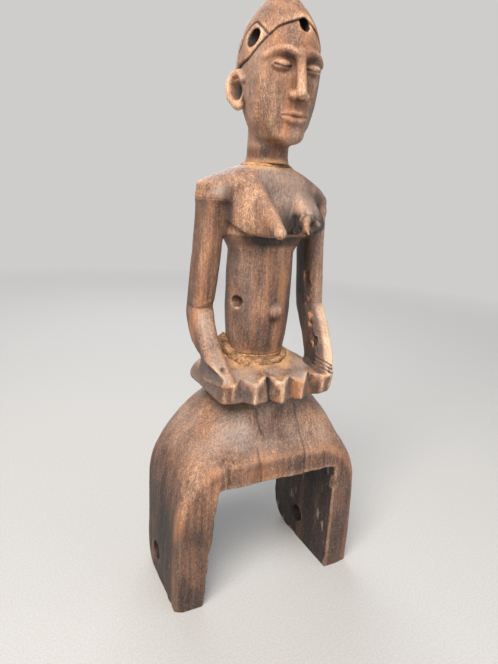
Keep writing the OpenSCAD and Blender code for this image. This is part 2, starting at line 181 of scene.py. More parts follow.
def cut(a, b, blend):
    """What is left of field a when field b is taken away, with an edge rounded by the blend."""
    return -join(-a, b, blend)


def keep(a, b, blend):
    """The part of field a that lies in field b, with an edge rounded by the blend."""
    return -join(-a, -b, blend)


def both(*fields):
    """What some fields share, with sharp edges."""
    return functools.reduce(np.maximum, fields)


LEAST_SLOPE = 0.35


def even(field, step):
    """Field that is scaled to grow by about one millimetre a millimetre."""
    slopes = np.gradient(field, step)
    return field / np.maximum(np.sqrt(sum(s * s for s in slopes)), LEAST_SLOPE)


SPREAD_STEPS, SPREAD_REACH, SPREAD_SHARPNESS = 8, 2, 1.6


def rounded(values, heights, knots, spread):
    """Values at knots, taken over to heights along a line with soft corners."""
    margin = 2 * SPREAD_REACH * spread
    fine = np.arange(knots[0] - margin, knots[-1] + margin, spread / SPREAD_STEPS)
    side = SPREAD_REACH * SPREAD_STEPS
    weights = bell(np.arange(-side, side + 1) / SPREAD_STEPS, 0, 1 / SPREAD_SHARPNESS)
    line = np.pad(np.interp(fine, knots, values), side, mode="edge")
    return np.interp(heights, fine, np.convolve(line, weights / weights.sum(), mode="valid"))


def loft(g, rows, spread=1.5):
    """Field of a stack of rings. A row holds z, x, y, half width, front, back, front and back power."""
    table = np.array(sorted(rows), dtype=float).T
    column = [rounded(values, g.z, table[0], spread) for values in table[1:]]
    x, y, half_w, front, back, front_power, back_power = column
    across = np.abs(g.x - x) / half_w
    ahead = g.y < y
    along = np.abs(g.y - y) / np.where(ahead, front, back)
    power = np.where(ahead, front_power, back_power)
    reach = (across ** power + along ** power) ** (1 / power)
    return even((reach - 1) * np.minimum(half_w, np.minimum(front, back)), g.step)


def oval_row(z, x, y, half_w, half_d, power):
    """Row of a loft that is the same to the front and the back."""
    return (z, x, y, half_w, half_d, half_d, power, power)


def ball(g, centre, radii):
    """Ellipsoid."""
    p = [(axis - c) / r for axis, c, r in zip((g.x, g.y, g.z), centre, radii)]
    size = np.sqrt(sum(q * q for q in p))
    slope = np.sqrt(sum((q / r) ** 2 for q, r in zip(p, radii)))
    return size * (size - 1) / np.maximum(slope, 1e-6)


def rod(g, start, end, start_r, end_r):
    """Round rod between two points that may taper."""
    start, end = np.array(start, float), np.array(end, float)
    way = end - start
    dx, dy, dz = g.x - start[0], g.y - start[1], g.z - start[2]
    share = np.clip((dx * way[0] + dy * way[1] + dz * way[2]) / (way @ way), 0, 1)
    gap = np.sqrt(sum((d - w * share) ** 2 for d, w in zip((dx, dy, dz), way)))
    return gap - start_r - (end_r - start_r) * share


def line_gap(places, route, axes=(0, 1, 2)):
    """Distance to a row of points, measured along some of the axes alone."""
    nearest = np.inf
    for a, b in zip(route, route[1:]):
        way = [b[i] - a[i] for i in axes]
        off = [places[i] - a[i] for i in axes]
        share = np.clip(sum(o * w for o, w in zip(off, way)) / sum(w * w for w in way), 0, 1)
        nearest = np.minimum(nearest, np.sqrt(sum((o - w * share) ** 2 for o, w in zip(off, way))))
    return nearest


def chain(g, points, radius):
    """Rods of one radius through a row of points."""
    return line_gap((g.x, g.y, g.z), points) - radius


def block(g, points, blend):
    """Convex block between some corner points, with edges rounded by the blend."""
    points = np.array(points, float)
    middle = points.mean(0)
    form = None
    for a, b, c in itertools.combinations(points, 3):
        normal = np.cross(b - a, c - a)
        normal = normal / np.linalg.norm(normal)
        if normal @ (a - middle) < 0:
            normal = -normal
        if ((points - a) @ normal).max() < 1e-6:
            side = (g.x - a[0]) * normal[0] + (g.y - a[1]) * normal[1] + (g.z - a[2]) * normal[2]
            form = side if form is None else keep(form, side, blend)
    return form


def bore(g, axis, centre, radius):
    """Endless round hole along an axis, 0 for X, 1 for Y and 2 for Z."""
    sides = [(v - c) ** 2 for i, (v, c) in enumerate(zip((g.x, g.y, g.z), centre)) if i != axis]
    return np.sqrt(sides[0] + sides[1]) - radius


def pegs(g):
    """Field of all pegs."""
    rods = [both(bore(g, 2, (x, y, 0), r), low - g.z, g.z - high) for x, y, r, low, high in PEGS]
    return functools.reduce(np.minimum, rods)


def change(g, field, points, margin, work):
    """Applies work to the part of a field that lies within a margin of some points."""
    points = np.array(points, float)
    where, part = g.window(points.min(0) - margin, points.max(0) + margin)
    field[where] = work(part, field[where])


GROOVE_MARGIN = 4.0
WANDER, WANDER_SCALE, WANDER_SEED = 0.35, (2.4, 2.4, 2.4), 7


def score(g, field, route, width, depth, axes=(0, 2)):
    """Cuts a groove under a route, equally deep wherever the surface lies along the axis left out."""
    def work(part, f):
        drift = WANDER * noise(part, WANDER_SCALE, WANDER_SEED)
        gap = line_gap((part.x + drift, part.y + drift, part.z), route, axes)
        return f + depth * np.maximum(1 - gap / width, 0)
    change(g, field, route, GROOVE_MARGIN, work)


# Repeatable noise on a lattice that all pieces share

HASH_X, HASH_Y, HASH_Z, HASH_SEED, HASH_START = 73856093, 19349663, 83492791, 40503, 1013
HASH_STIRS = ((7, 69069), (11, 1566083941))
HASH_MASK, HASH_DROP = 0x7FFFFFFF, 8


def lattice(ix, iy, iz, seed):
    """Numbers from -1 to 1 that hang on whole-number places and a seed alone."""
    n = (ix * HASH_X) ^ (iy * HASH_Y) ^ (iz * HASH_Z) ^ (seed * HASH_SEED + HASH_START)
    n = (n * 1103515245 + 12345) & HASH_MASK
    for shift, factor in HASH_STIRS:
        n = ((n >> shift) ^ n) * factor & HASH_MASK
    return (n >> HASH_DROP) / (HASH_MASK >> HASH_DROP) * 2 - 1


def spline_weights(share):
    """Four weights of a cubic spline at a share of the way between two places."""
    rest = 1 - share
    return np.stack([
        rest ** 3,
        3 * share ** 3 - 6 * share ** 2 + 4,
        3 * rest ** 3 - 6 * rest ** 2 + 4,
        share ** 3]) / 6


NOISE_GAIN = 2.6


def noise(g, scale, seed):
    """Smooth noise on a grid, about -1 to 1, with a size in millimetres along each axis."""
    ranges, weights = [], []
    for axis, size in zip(g.axes, scale):
        place = axis / size
        whole = np.floor(place).astype(int)
        low, high = whole.min() - 1, whole.max() + 3
        matrix = np.zeros((len(axis), high - low))
        rows = np.arange(len(axis))
        for k, weight in enumerate(spline_weights(place - whole)):
            matrix[rows, whole - 1 + k - low] = weight
        ranges.append(np.arange(low, high))
        weights.append(matrix)
    values = lattice(*np.meshgrid(*ranges, indexing="ij", sparse=True), seed)
    return NOISE_GAIN * np.einsum("ai,bj,ck,ijk->abc", *weights, values, optimize=True)


def noise_at(points, scale, seed):
    """The same noise at single points."""
    place = points / np.array(scale)
    whole = np.floor(place).astype(int)
    weights = spline_weights(place - whole)
    total = np.zeros(len(points))
    for i, j, k in itertools.product(range(4), repeat=3):
        value = lattice(*(whole + (i - 1, j - 1, k - 1)).T, seed)
        total += value * weights[i][:, 0] * weights[j][:, 1] * weights[k][:, 2]
    return NOISE_GAIN * total


# Tool marks and weathering that every carved surface has

# Depth of the facets, the grain and the pits
STIRRUP_WEAR, FIGURE_WEAR, HEAD_WEAR = (0.30, 0.10, 0.16), (0.18, 0.07, 0.11), (0.10, 0.07, 0.08)


def weathered(g, field, facets, grain, pits):
    """Field with broad knife facets, long grain and small pits."""
    rough = facets * noise(g, (7, 7, 11), 1)
    rough += facets * 0.5 * noise(g, (3.2, 3.2, 6), 2)
    rough += grain * noise(g, (1.3, 1.3, 12), 3)
    rough += pits * np.maximum(noise(g, (1.4, 1.4, 2.2), 4) - 0.35, 0)
    return field + rough


# Meshes

def surface(g, field):
    """Points and quads of a field's zero surface, one point in each cell that it crosses."""
    inside = field < 0
    corner = [slice(0, -1), slice(1, None)]
    count = sum(inside[cell].astype(np.int8) for cell in itertools.product(corner, repeat=3))
    crossed = (count > 0) & (count < 8)
    number = np.full(crossed.shape, -1)
    number[crossed] = np.arange(crossed.sum())
    cells = np.argwhere(crossed)
    total = np.zeros(cells.shape)
    hits = np.zeros(len(cells))
    for axis, a, b in itertools.product(range(3), (0, 1), (0, 1)):
        start = cells.copy()
        start[:, (axis + 1) % 3] += a
        start[:, (axis + 2) % 3] += b
        end = start.copy()
        end[:, axis] += 1
        first, last = field[tuple(start.T)], field[tuple(end.T)]
        hit = (first < 0) != (last < 0)
        place = start[hit].astype(float)
        place[:, axis] += first[hit] / (first[hit] - last[hit])
        total[hit] += place
        hits += hit
    points = g.origin + total / hits[:, None] * g.step
    quads = []
    for axis in range(3):
        near, far = [slice(None)] * 3, [slice(None)] * 3
        near[axis], far[axis] = corner
        leaving = inside[tuple(near)]
        edges = np.argwhere(leaving != inside[tuple(far)])
        u, v = np.roll(np.eye(3, dtype=int), -1 - axis, axis=0)[:2]
        ring = np.stack([number[tuple((edges - shift).T)] for shift in (u + v, v, 0 * u, u)], axis=1)
        outward = leaving[tuple(edges.T)]
        quads.append(np.where(outward[:, None], ring, ring[:, ::-1]))
    return points, np.concatenate(quads)


def sampled(g, field, points):
    """Values of a grid's field at single points."""
    place = (points - g.origin) / g.step
    whole = np.clip(np.floor(place).astype(int), 0, np.array(field.shape) - 2)
    share = place - whole
    total = np.zeros(len(points))
    for corner in itertools.product((0, 1), repeat=3):
        weight = np.prod(np.where(corner, share, 1 - share), axis=1)
        total += weight * field[tuple((whole + corner).T)]
    return total


def blurred(values, reach):
    """Mean of a field over a small box of cells."""
    for axis in range(3):
        margins = [(reach + 1, reach) if i == axis else (0, 0) for i in range(3)]
        padded = np.pad(values, margins, mode="edge")
        sums = np.cumsum(padded, axis=axis)
        width = 2 * reach + 1
        size = sums.shape[axis]
        high = np.take(sums, np.arange(width, size), axis=axis)
        low = np.take(sums, np.arange(size - width), axis=axis)
        values = (high - low) / width
    return values


def hollow_share(g, field, points, radius):
    """How enclosed each point is: under 0 on an outer edge, about 0 on a flat face, over 0 in a corner."""
    solid = np.clip(0.5 - field / g.step, 0, 1).astype(np.float32)
    reach = max(1, int(round(radius / g.step)))
    return 2 * sampled(g, blurred(blurred(solid, reach), reach), points) - 1


def put(name, data):
    """Object that is linked to the scene."""
    made = bpy.data.objects.new(name, data)
    bpy.context.scene.collection.objects.link(made)
    return made


def add_piece(name, slot, quads, paint):
    """Mesh object that stands for the node of the same name and rides on the one body."""
    mesh = bpy.data.meshes.new(name)
    mesh.vertices.add(len(paint.points))
    mesh.vertices.foreach_set("co", (paint.points * MM).astype(np.float32).ravel())
    mesh.loops.add(quads.size)
    mesh.loops.foreach_set("vertex_index", quads.astype(np.int32).ravel())
    mesh.polygons.add(len(quads))
    mesh.polygons.foreach_set("loop_start", np.arange(0, quads.size, 4, dtype=np.int32))
    mesh.update(calc_edges=True)
    mesh.shade_smooth()
    for layer in LAYERS:
        values = np.clip(getattr(paint, layer), 0, 1).astype(np.float32)
        mesh.attributes.new(layer, "FLOAT", "POINT").data.foreach_set("value", values)
    mesh.materials.append(materials[slot])
    piece = put(name + "_carved", mesh)
    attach(piece, ROOT)
    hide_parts(name)


EDGE_REACH, BROAD_REACH = 1.4, 4.0
SEAM_BLEND = 0.05


def carve(name, slot, g, form, painter, low=-np.inf, high=np.inf, side=-np.inf):
    """Makes a piece of a form that neighbours share: between two heights, in a side field, off the pegs."""
    seams = both(low - g.z, g.z - high, side, -pegs(g))
    points, quads = surface(g, keep(form, seams, SEAM_BLEND))
    paint = Paint(points, *(hollow_share(g, form, points, reach) for reach in (EDGE_REACH, BROAD_REACH)))
    painter(paint)
    add_piece(name, slot, quads, paint)


# Materials

def linear(red, green, blue):
    """Linear colour of a screen colour from 0 to 255."""
    parts = [c / 255 for c in (red, green, blue)]
    return [c / 12.92 if c <= 0.04045 else ((c + 0.055) / 1.055) ** 2.4 for c in parts] + [1.0]


WOOD_STOPS = (
    (0.00, linear(26, 18, 16)),
    (0.22, linear(62, 43, 36)),
    (0.45, linear(108, 79, 65)),
    (0.65, linear(156, 118, 95)),
    (0.82, linear(198, 159, 128)),
    (1.00, linear(230, 200, 170)))
FILLER_STOPS = ((0.3, linear(92, 64, 46)), (0.5, linear(168, 124, 88)), (0.7, linear(210, 170, 126)))
PEG_STOPS = ((0.3, linear(128, 92, 62)), (0.7, linear(186, 146, 104)))
ORANGE = linear(186, 122, 76)
# Grey of dust, which on faces that look up also serves as a painted sheen
DUST_AND_SHEEN_GREY = linear(170, 152, 141)
# Dark colour of grime, which also serves for painted shade
GRIME_AND_SHADE = linear(27, 19, 17)
GOLD = linear(204, 158, 110)
CRUMBS = linear(208, 176, 146)


class Shader:
    """Short way to write the nodes of a material or a world."""

    def __init__(self, owner):
        owner.use_nodes = True
        self.owner = owner
        self.tree = owner.node_tree

    def fill(self, name, links):
        """Gives the inputs of a node that is there already values, or links from other sockets."""
        for socket, source in links.items():
            target = self.tree.nodes[name].inputs[socket]
            if isinstance(source, bpy.types.NodeSocket):
                self.tree.links.new(source, target)
            else:
                target.default_value = source

    def add(self, kind, links, **settings):
        """Outputs of a new node."""
        made = self.tree.nodes.new(kind)
        for key, value in settings.items():
            setattr(made, key, value)
        self.fill(made.name, links)
        return made.outputs

    def attribute(self, name):
        return self.add("ShaderNodeAttribute", {}, attribute_name=name)["Fac"]

    def math(self, operation, a, b, c=0.0):
        return self.add("ShaderNodeMath", {0: a, 1: b, 2: c}, operation=operation)[0]

    def swing(self, texture, strength, base):
        """A base that a texture raises and lowers."""
        return self.math("MULTIPLY_ADD", self.math("SUBTRACT", texture, 0.5), strength, base)

    def mix(self, share, a, b):
        return self.add("ShaderNodeMix", {0: share, 6: a, 7: b}, data_type="RGBA")[2]

    def place(self):
        return self.add("ShaderNodeTexCoord", {})["Object"]

    def noise(self, run, scale, detail, rough):
        place = self.add("ShaderNodeMapping", {"Vector": self.place(), "Scale": (1, 1, run)})["Vector"]
        links = {"Vector": place, "Scale": scale, "Detail": detail, "Roughness": rough}
        return self.add("ShaderNodeTexNoise", links)["Fac"]

    def ramp(self, value, stops):
        colour = self.add("ShaderNodeValToRGB", {0: value})["Color"]
        line = colour.node.color_ramp
        while len(line.elements) < len(stops):
            line.elements.new(0.5)
        for element, (place, shade) in zip(line.elements, stops):
            element.position = place
            element.color = shade
        return colour

    def span(self, value, low, high):
        return self.add("ShaderNodeMapRange", {"Value": value, "From Min": low, "From Max": high})["Result"]

    def seen(self):
        """1 for a ray that the camera sees straight, off a glossy surface or through a clear one."""
        rays = self.add("ShaderNodeLightPath", {})
        share = self.math("MAXIMUM", rays["Is Camera Ray"], rays["Is Glossy Ray"])
        return self.math("MAXIMUM", share, rays["Is Transmission Ray"])

    def finish(self, colour, roughness, height, strength, depth):
        """Feeds the surface, with a bump whose depth is in metres, and gives the material back."""
        bump = self.add("ShaderNodeBump", {"Height": height, "Strength": strength, "Distance": depth})
        links = {"Base Color": colour, "Roughness": roughness, "Normal": bump["Normal"]}
        self.fill("Principled BSDF", links)
        return self.owner


def shader(name):
    return Shader(bpy.data.materials.new(name))


# Textures: squeeze along the grain, scale, detail and roughness
STREAKS, FIBRES = (0.07, 750, 5, 0.6), (0.07, 2600, 3, 0.6)
SPECKS, GRIT = (0.55, 1500, 5, 0.75), (0.6, 2600, 2, 0.6)
FLECKS, CLOUDS = (0.45, 1900, 2, 0.6), (0.5, 160, 4, 0.6)
PEG_STREAKS, LUMPS, CLOTH = (0.07, 900, 4, 0.6), (1, 900, 5, 0.7), (1, 1400, 4, 0.6)
CLOUD_CONTRAST, RAGGED, STREAKY = 0.32, 3.4, 2.6
CRUMB_SPAN, CRUMB_SHARE = (0.36, 0.26), 0.35
PIT_SPAN, PIT_SHARE = (0.63, 0.76), 0.5


def wood(name, grain_contrast, speckle_contrast, gloss):
    """Worn wood whose painted layers come from the mesh, with grain that runs up the figure."""
    s = shader(name)
    streaks, fibres, specks, grit, flecks, clouds = (
        s.noise(*texture) for texture in (STREAKS, FIBRES, SPECKS, GRIT, FLECKS, CLOUDS))
    tone = s.attribute("tone")
    for texture, strength in (
            (streaks, grain_contrast), (fibres, grain_contrast * 0.6), (specks, speckle_contrast),
            (grit, speckle_contrast), (clouds, CLOUD_CONTRAST)):
        tone = s.swing(texture, strength, tone)
    colour = s.ramp(tone, WOOD_STOPS)
    ragged = s.swing(specks, RAGGED, 1.0)
    streaky = s.swing(streaks, STREAKY, 1.0)
    for key, texture, layer in (
            ("orange", streaky, ORANGE), ("grey", ragged, DUST_AND_SHEEN_GREY), ("gold", ragged, GOLD)):
        colour = s.mix(s.math("MULTIPLY", s.attribute(key), texture), colour, layer)
    colour = s.mix(s.math("MULTIPLY", s.span(flecks, *CRUMB_SPAN), CRUMB_SHARE), colour, CRUMBS)
    pits = s.math("MULTIPLY", s.span(flecks, *PIT_SPAN), PIT_SHARE)
    dark = s.math("MULTIPLY", s.attribute("dark"), s.math("MULTIPLY_ADD", ragged, 0.4, 0.6))
    colour = s.mix(s.math("MAXIMUM", dark, pits), colour, GRIME_AND_SHADE)
    dull = s.math("MULTIPLY_ADD", specks, 0.35, 1 - gloss)
    dull = s.math("MULTIPLY_ADD", s.attribute("grey"), 0.12, dull)
    height = s.math("MULTIPLY_ADD", streaks, 0.9, s.math("MULTIPLY_ADD", fibres, 0.35, specks))
    return s.finish(colour, dull, height, strength=0.6, depth=0.7 * MM)


def filler(name):
    """Crumbly golden filler."""
    s = shader(name)
    lumps = s.noise(*LUMPS)
    colour = s.mix(s.attribute("dark"), s.ramp(lumps, FILLER_STOPS), GRIME_AND_SHADE)
    return s.finish(colour, roughness=0.85, height=lumps, strength=0.7, depth=0.6 * MM)


def peg_wood(name):
    """Plain whittled wood of the hidden pegs."""
    s = shader(name)
    streaks = s.noise(*PEG_STREAKS)
    colour = s.ramp(streaks, PEG_STOPS)
    return s.finish(colour, roughness=0.7, height=streaks, strength=0.4, depth=0.4 * MM)


# Contrast of each wood's grain and specks, and its gloss
WOODS = {"dark_wood": (0.50, 0.76, 0.58), "red_wood": (0.46, 0.66, 0.62), "worn_wood": (0.44, 0.66, 0.60)}

materials = {name: wood(name, *look) for name, look in WOODS.items()}
materials["filler"] = filler("filler")
materials["peg_wood"] = peg_wood("peg_wood")


# Painting

LAYERS = ("tone", "orange", "grey", "dark", "gold")


class Paint:
    """Points of a piece and the layers of worn colour, dust, painted shade and painted sheen on them, which
    its material mixes.
    """

    def __init__(self, points, edge, broad):
        self.points, self.edge, self.broad = points, edge, broad
        for layer in LAYERS:
            setattr(self, layer, np.zeros(len(points)))

    def noise(self, scale, seed):
        return noise_at(self.points, scale, seed)

    def spot(self, centre, radius):
        """1 at a centre and 0 from a radius on."""
        gap = np.sqrt((((self.points - np.array(centre, float)) / radius) ** 2).sum(1))
        return 1 - ease(0.0, 1.0, gap)

    def stripe(self, route, radius):
        """1 along a row of points and 0 from a radius on."""
        return 1 - ease(0.3 * radius, radius, line_gap(self.points.T, route))

    def groove(self, route, width, strength, axes=(0, 2)):
        """Darkens a groove that was cut under the same route."""
        route = np.array(route, float)
        near = (self.points > route.min(0) - GROOVE_MARGIN) & (self.points < route.max(0) + GROOVE_MARGIN)
        drift = WANDER * self.noise(WANDER_SCALE, WANDER_SEED)
        x, y, z = self.points.T
        gap = line_gap((x + drift, y + drift, z), route, axes)
        self.darken(strength * near.all(1) * (1 - ease(0.4 * width, width, gap)))

    def darken(self, share):
        """Brings the dark layer, which holds grime and painted shade, up to a share."""
        self.dark = np.maximum(self.dark, share)

    def wear_and_shade(self, base, light=0.9):
        """Tone, grime and painted shade that all wood shares: lighter on worn outer edges, with painted
        shade in corners and broad hollows.
        """
        blotch = self.noise((9, 9, 16), 11)
        patch = self.noise((3.2, 3.2, 6), 12)
        self.tone += base + 0.07 * blotch + 0.05 * patch
        # Worn outer edges are lighter; corners and broad hollows get painted shade in the tone and the dark
        # layer.
        self.tone += light * np.clip(-self.edge - 0.05, 0, 0.35) - 0.35 * np.clip(self.edge, 0, 1)
        self.dark += 1.1 * np.clip(self.edge - 0.10, 0, 1) + 0.5 * np.clip(self.broad - 0.28, 0, 1)
        self.orange += 0.12 * ease(0.1, 1.1, patch + 0.6 * blotch)


# Stirrup

STIRRUP_CRACKS = (
    ((-6.3, -16.3, 72.5), (-5.8, -17.4, 67.2), (-4.7, -18.2, 63.1)),
    ((-7.1, -18.8, 59.1), (-6.6, -19.4, 53.7), (-6.0, -19.8, 47.0)),
    ((8.9, -15.1, 73.5), (10.0, -17.0, 67.7), (12.0, -18.7, 59.2), (12.6, -19.8, 46.8)),
    ((-19.3, -19.3, 54.3), (-19.9, -19.8, 46.6)))
BAND_W, BAND_H, BAND_POWER = 38.0, 54.8, 4.5
BAND_SLOPE, BAND_FALL = 26.0, 3.0
LEAN_FOOT, LEAN_RISE = 0.6, 1.5
SPREAD_FOOT, SPREAD_RISE = 0.6, -1.1
STIRRUP_RINGS = 90
CROWN_SHADE = (-8, -17, 64), (15, 9, 10)
CROWN_DUST_AND_SHEEN = (-13, -17, 65), (14, 9, 9)
CROWN_SOOT = (-19, -19, 58), (9, 6, 7)
CROWN_CRUMBS = (-17, -12, 74.5), (11, 9, 4.0)


def stirrup_rows():
    """Rings of the stirrup: straight legs with rounded heels, then a crown that rounds over."""
    half_w, half_d = STIRRUP_HIGH[0], (STIRRUP_HIGH[1] - STIRRUP_LOW[1]) / 2
    crown = CROWN_W / (2 * half_w)
    rows = []
    for z in np.linspace(0, PLATE_Z, STIRRUP_RINGS):
        rise = max(0, z - SPRING_H) / (PLATE_Z - SPRING_H)
        width = half_w * math.sqrt(1 - rise * rise * (1 - crown * crown)) + SPREAD_FOOT + SPREAD_RISE * rise
        depth = half_d + (CROWN_D / 2 - half_d) * rise ** 2.2
        lift = max(0, 1 - z / HEEL_H)
        heel = HEEL_L * (1 - math.sqrt(1 - lift * lift))
        powers = 2.6 + 17.4 * (1 - rise) ** 2.5, 2.4 + 3.6 * (1 - rise)
        rows.append((z, LEAN_FOOT + LEAN_RISE * rise, LEG_Y, width, depth, depth - heel, *powers))
    return rows


def band_level(x, z):
    """1 on the ridge round the flat front band, less inside it and more outside."""
    across, up = np.abs(x) / BAND_W, np.maximum(z, 0) / BAND_H
    return (across ** BAND_POWER + up ** BAND_POWER) ** (1 / BAND_POWER)


def fork(x, z):
    """Field of the fork between the legs, which leans to the figure's left."""
    rise = z / FORK_H
    half_w = (FORK_FOOT_W + (FORK_ROOF_W - FORK_FOOT_W) * rise) / 2
    side = np.abs(x - FORK_LEAN * rise) - half_w + FORK_R
    roof = z - FORK_H + FORK_R
    outside = np.hypot(np.maximum(side, 0), np.maximum(roof, 0))
    return outside + np.minimum(np.maximum(side, roof), 0) - FORK_R


def make_stirrup():
    g = grid_round(STIRRUP_LOW, STIRRUP_HIGH, STIRRUP_STEP)
    form = loft(g, stirrup_rows(), 0.5)
    form = form + np.clip(BAND_SLOPE * (band_level(g.x, g.z) - 1), 0, BAND_FALL) * ease(4, -15, g.y)
    form = weathered(g, form, *STIRRUP_WEAR)
    gap = fork(g.x, g.z) + 0.25 * noise(g, (5, 9, 5), 21) + 0.12 * noise(g, (1.6, 3, 1.6), 22)
    chips = np.maximum(noise(g, (1.8, 2.5, 2.4), 23) - 0.15, 0) * ease(-16, -19.5, g.y)
    form = cut(form, gap - 0.8 * chips, 0.5)
    for route in STIRRUP_CRACKS:
        score(g, form, route, width=0.5, depth=0.35)
    form = cut(form, bore(g, 0, AXLE, AXLE_R), 0.9)
    carve("stirrup", "dark_wood", g, form, paint_stirrup, 0, PLATE_Z)


def paint_stirrup(p):
    """Dark legs, a crown with dust and painted sheen, a worn ridge round the band, and painted shade by it,
    in the fork and in the bore.
    """
    x, y, z = p.points.T
    p.wear_and_shade(base=0.46, light=0.6)
    rough = p.noise((4, 4, 5), 31)
    streak = p.noise((1.5, 1.5, 20), 32)
    level = band_level(x, z)
    aside = np.abs(x)
    front = ease(-12, -17, y)
    ridge = bell(level, 1.015, 0.03) * front
    outside = ease(31, 36, aside) * (1 - front) * ease(62, 46, z)
    band = front * ease(1.0, 0.94, level)
    dome = ease(50, 64, z)
    legs = ease(46, 30, z)
    crumbs = p.spot(*CROWN_CRUMBS)
    p.tone += dome * (0.03 + 0.07 * ease(0, 14, x)) - 0.03 * band - 0.17 * legs + 0.05 * ridge
    p.tone += 0.06 * legs * front * (x > 0) - 0.07 * p.spot(*CROWN_SHADE)
    p.tone -= outside * (0.07 + 0.10 * ease(-0.4, 0.8, streak))
    p.orange += 0.34 * np.maximum(ridge, ease(34, 37, aside) * front) * ease(-0.7, 0.7, rough)
    p.orange += 0.30 * outside * ease(0.2, 0.9, p.noise((2.2, 2.2, 16), 33)) + 0.9 * crumbs
    p.orange += 0.14 * ease(22, 30, aside) * ease(46, 56, z) * ease(-0.5, 0.8, rough)
    p.orange += 0.28 * band * ease(0.0, 0.9, rough) * ease(44, 49, z)
    p.gold += 0.6 * crumbs * ease(-0.7, 0.4, rough)
    # Grey dust and painted sheen on the crown
    p.grey += 0.44 * p.spot(*CROWN_DUST_AND_SHEEN) * ease(-1.0, 0.6, rough)
    p.grey += 0.36 * dome * ease(-0.9, 0.7, rough) + 0.04 * legs * front
    # Painted shadow line just inside the band's ridge
    p.dark += 0.30 * bell(level, 0.965, 0.02) * front * ease(-0.4, 0.6, rough)
    p.dark += 0.75 * p.spot(*CROWN_SOOT) * ease(-0.3, 0.5, p.noise((0.7, 0.7, 0.7), 35))
    for route in STIRRUP_CRACKS:
        p.groove(route, width=0.42, strength=0.6)
    # The fork's inner walls under the arch are painted near black as shade, with light specks
    inside = (fork(x, z) < 0.30) & (y > STIRRUP_LOW[1] + 0.7)
    p.tone = np.where(inside, 0.11 + 0.12 * streak, p.tone)
    for layer in (p.orange, p.grey, p.gold):
        layer[inside] *= 0.15
    p.grey += 0.6 * inside * ease(0.75, 1.1, p.noise((0.9, 0.9, 4.5), 34))
    # Painted shade inside the axle bore
    p.dark[np.hypot(y - AXLE[1], z - AXLE[2]) < AXLE_R + 0.2] = 0.9


# Lap plate with both hands

TEETH = ((-17.5, -16.3), (-10.8, -19.7), (-0.6, -21.2), (8.2, -20.1), (18.2, -17.5))
NOTCHES = ((-13.6, -13.0), (-3.6, -13.8), (4.6, -15.2), (13.8, -13.2))
RIGHT_CORNER, LEFT_CORNER = (-21.6, -15.2), (24.4, -15.4)
NOTCH_LEFT = 0.38
BACK_STEPS, BACK_POWER_SHARE = 24, 2 / 3.2
SIDE_FOOT, SIDE_SLOPE, LEFT_WIDER = 21.2, 0.94, 1.4
WAIST_SPREAD, FRONT_SINK = 1.0, 2.4
BEVEL, BEVEL_Z = 0.5, 80.5
PLATE_CRACK = ((-3.7, -14.0, 84.6), (-3.9, -15.4, 81.0), (-4.2, -17.0, 77.0))
FACET_HOLE = (-2.4, -19.8, 81.2)
HAND_HOLE = (-20.6, -13.4, 89.2)
TOOTH_STAIN = (-12.4, -16.4, 80.0), (2.4, 4, 2.8)
CORNER_STAIN = (15.8, -15.4, 79.4), (2.4, 4, 3.2)
HAND_Z, HAND_SLOPE, HAND_SPREAD, HAND_SUNK = 86.7, 0.36, 0.8, 1.4
HIP = (
    (-22.8, -10.0, 80.0), (-22.2, 7.0, 80.0), (-23.4, 2.2, 89.6), (-23.9, -1.0, 91.5), (-24.3, -9.0, 87.6),
    (-18.0, -10.0, 82.0), (-18.0, 6.0, 82.0), (-18.8, -4.0, 89.0), (-18.8, 1.5, 88.5))


def above_flank(y, z):
    """Height over the line at which an arm's outer side ends and the plate's flank begins."""
    return z - HAND_Z - HAND_SLOPE * np.maximum(y - RIGHT_CORNER[1], 0)


def plate_outline(notch_share, inset=0.0):
    """Outline of the plate from above, with notches that are cut to a share of their depth."""
    points = []
    for turn in np.linspace(0, math.pi, BACK_STEPS + 1):
        across = math.copysign(abs(math.cos(turn)) ** BACK_POWER_SHARE, math.cos(turn))
        points.append((HALF_PLATE * across, BODY_Y + PLATE_BACK * math.sin(turn) ** BACK_POWER_SHARE))
    points += [(-HALF_PLATE, RIGHT_CORNER[1] / 2), RIGHT_CORNER]
    for tooth, notch, after in zip(TEETH, NOTCHES, TEETH[1:]):
        line = np.interp(notch[0], (tooth[0], after[0]), (tooth[1], after[1]))
        points += [tooth, (notch[0], line + notch_share * (notch[1] - line))]
    points += [TEETH[-1], LEFT_CORNER, (HALF_PLATE, LEFT_CORNER[1] / 2)]
    middle = np.array((0, BODY_Y))
    return middle + (np.array(points) - middle) * (1 - inset / HALF_PLATE)


def outline_gap(x, y, outline):
    """Distance to a closed outline in the XY plane, under 0 inside it."""
    closed = np.vstack((outline, outline[:1]))
    within = np.zeros(np.broadcast_shapes(x.shape, y.shape), bool)
    for a, b in zip(closed, closed[1:]):
        if a[1] != b[1]:
            spans = (a[1] > y) != (b[1] > y)
            within ^= spans & (x < a[0] + (y - a[1]) / (b[1] - a[1]) * (b[0] - a[0]))
    return np.where(within, -1, 1) * line_gap((x, y), closed, (0, 1))


def plate_top(x, y):
    """Height of the plate's top, which rises from the rim to the waist, less high in front."""
    half_w, half_d = WAIST_W / 2 + WAIST_SPREAD, WAIST_D / 2 + WAIST_SPREAD
    waist = np.maximum((np.hypot(x / half_w, (y - BODY_Y) / half_d) - 1) * half_d, 0)
    inside = np.maximum(-outline_gap(x, y, plate_outline(0.0)), 0)
    rise = WAIST_Z - FRONT_SINK * ease(2, -6, y) - RIM_Z
    return RIM_Z + rise * (inside / np.maximum(inside + waist, 0.1)) ** 1.3


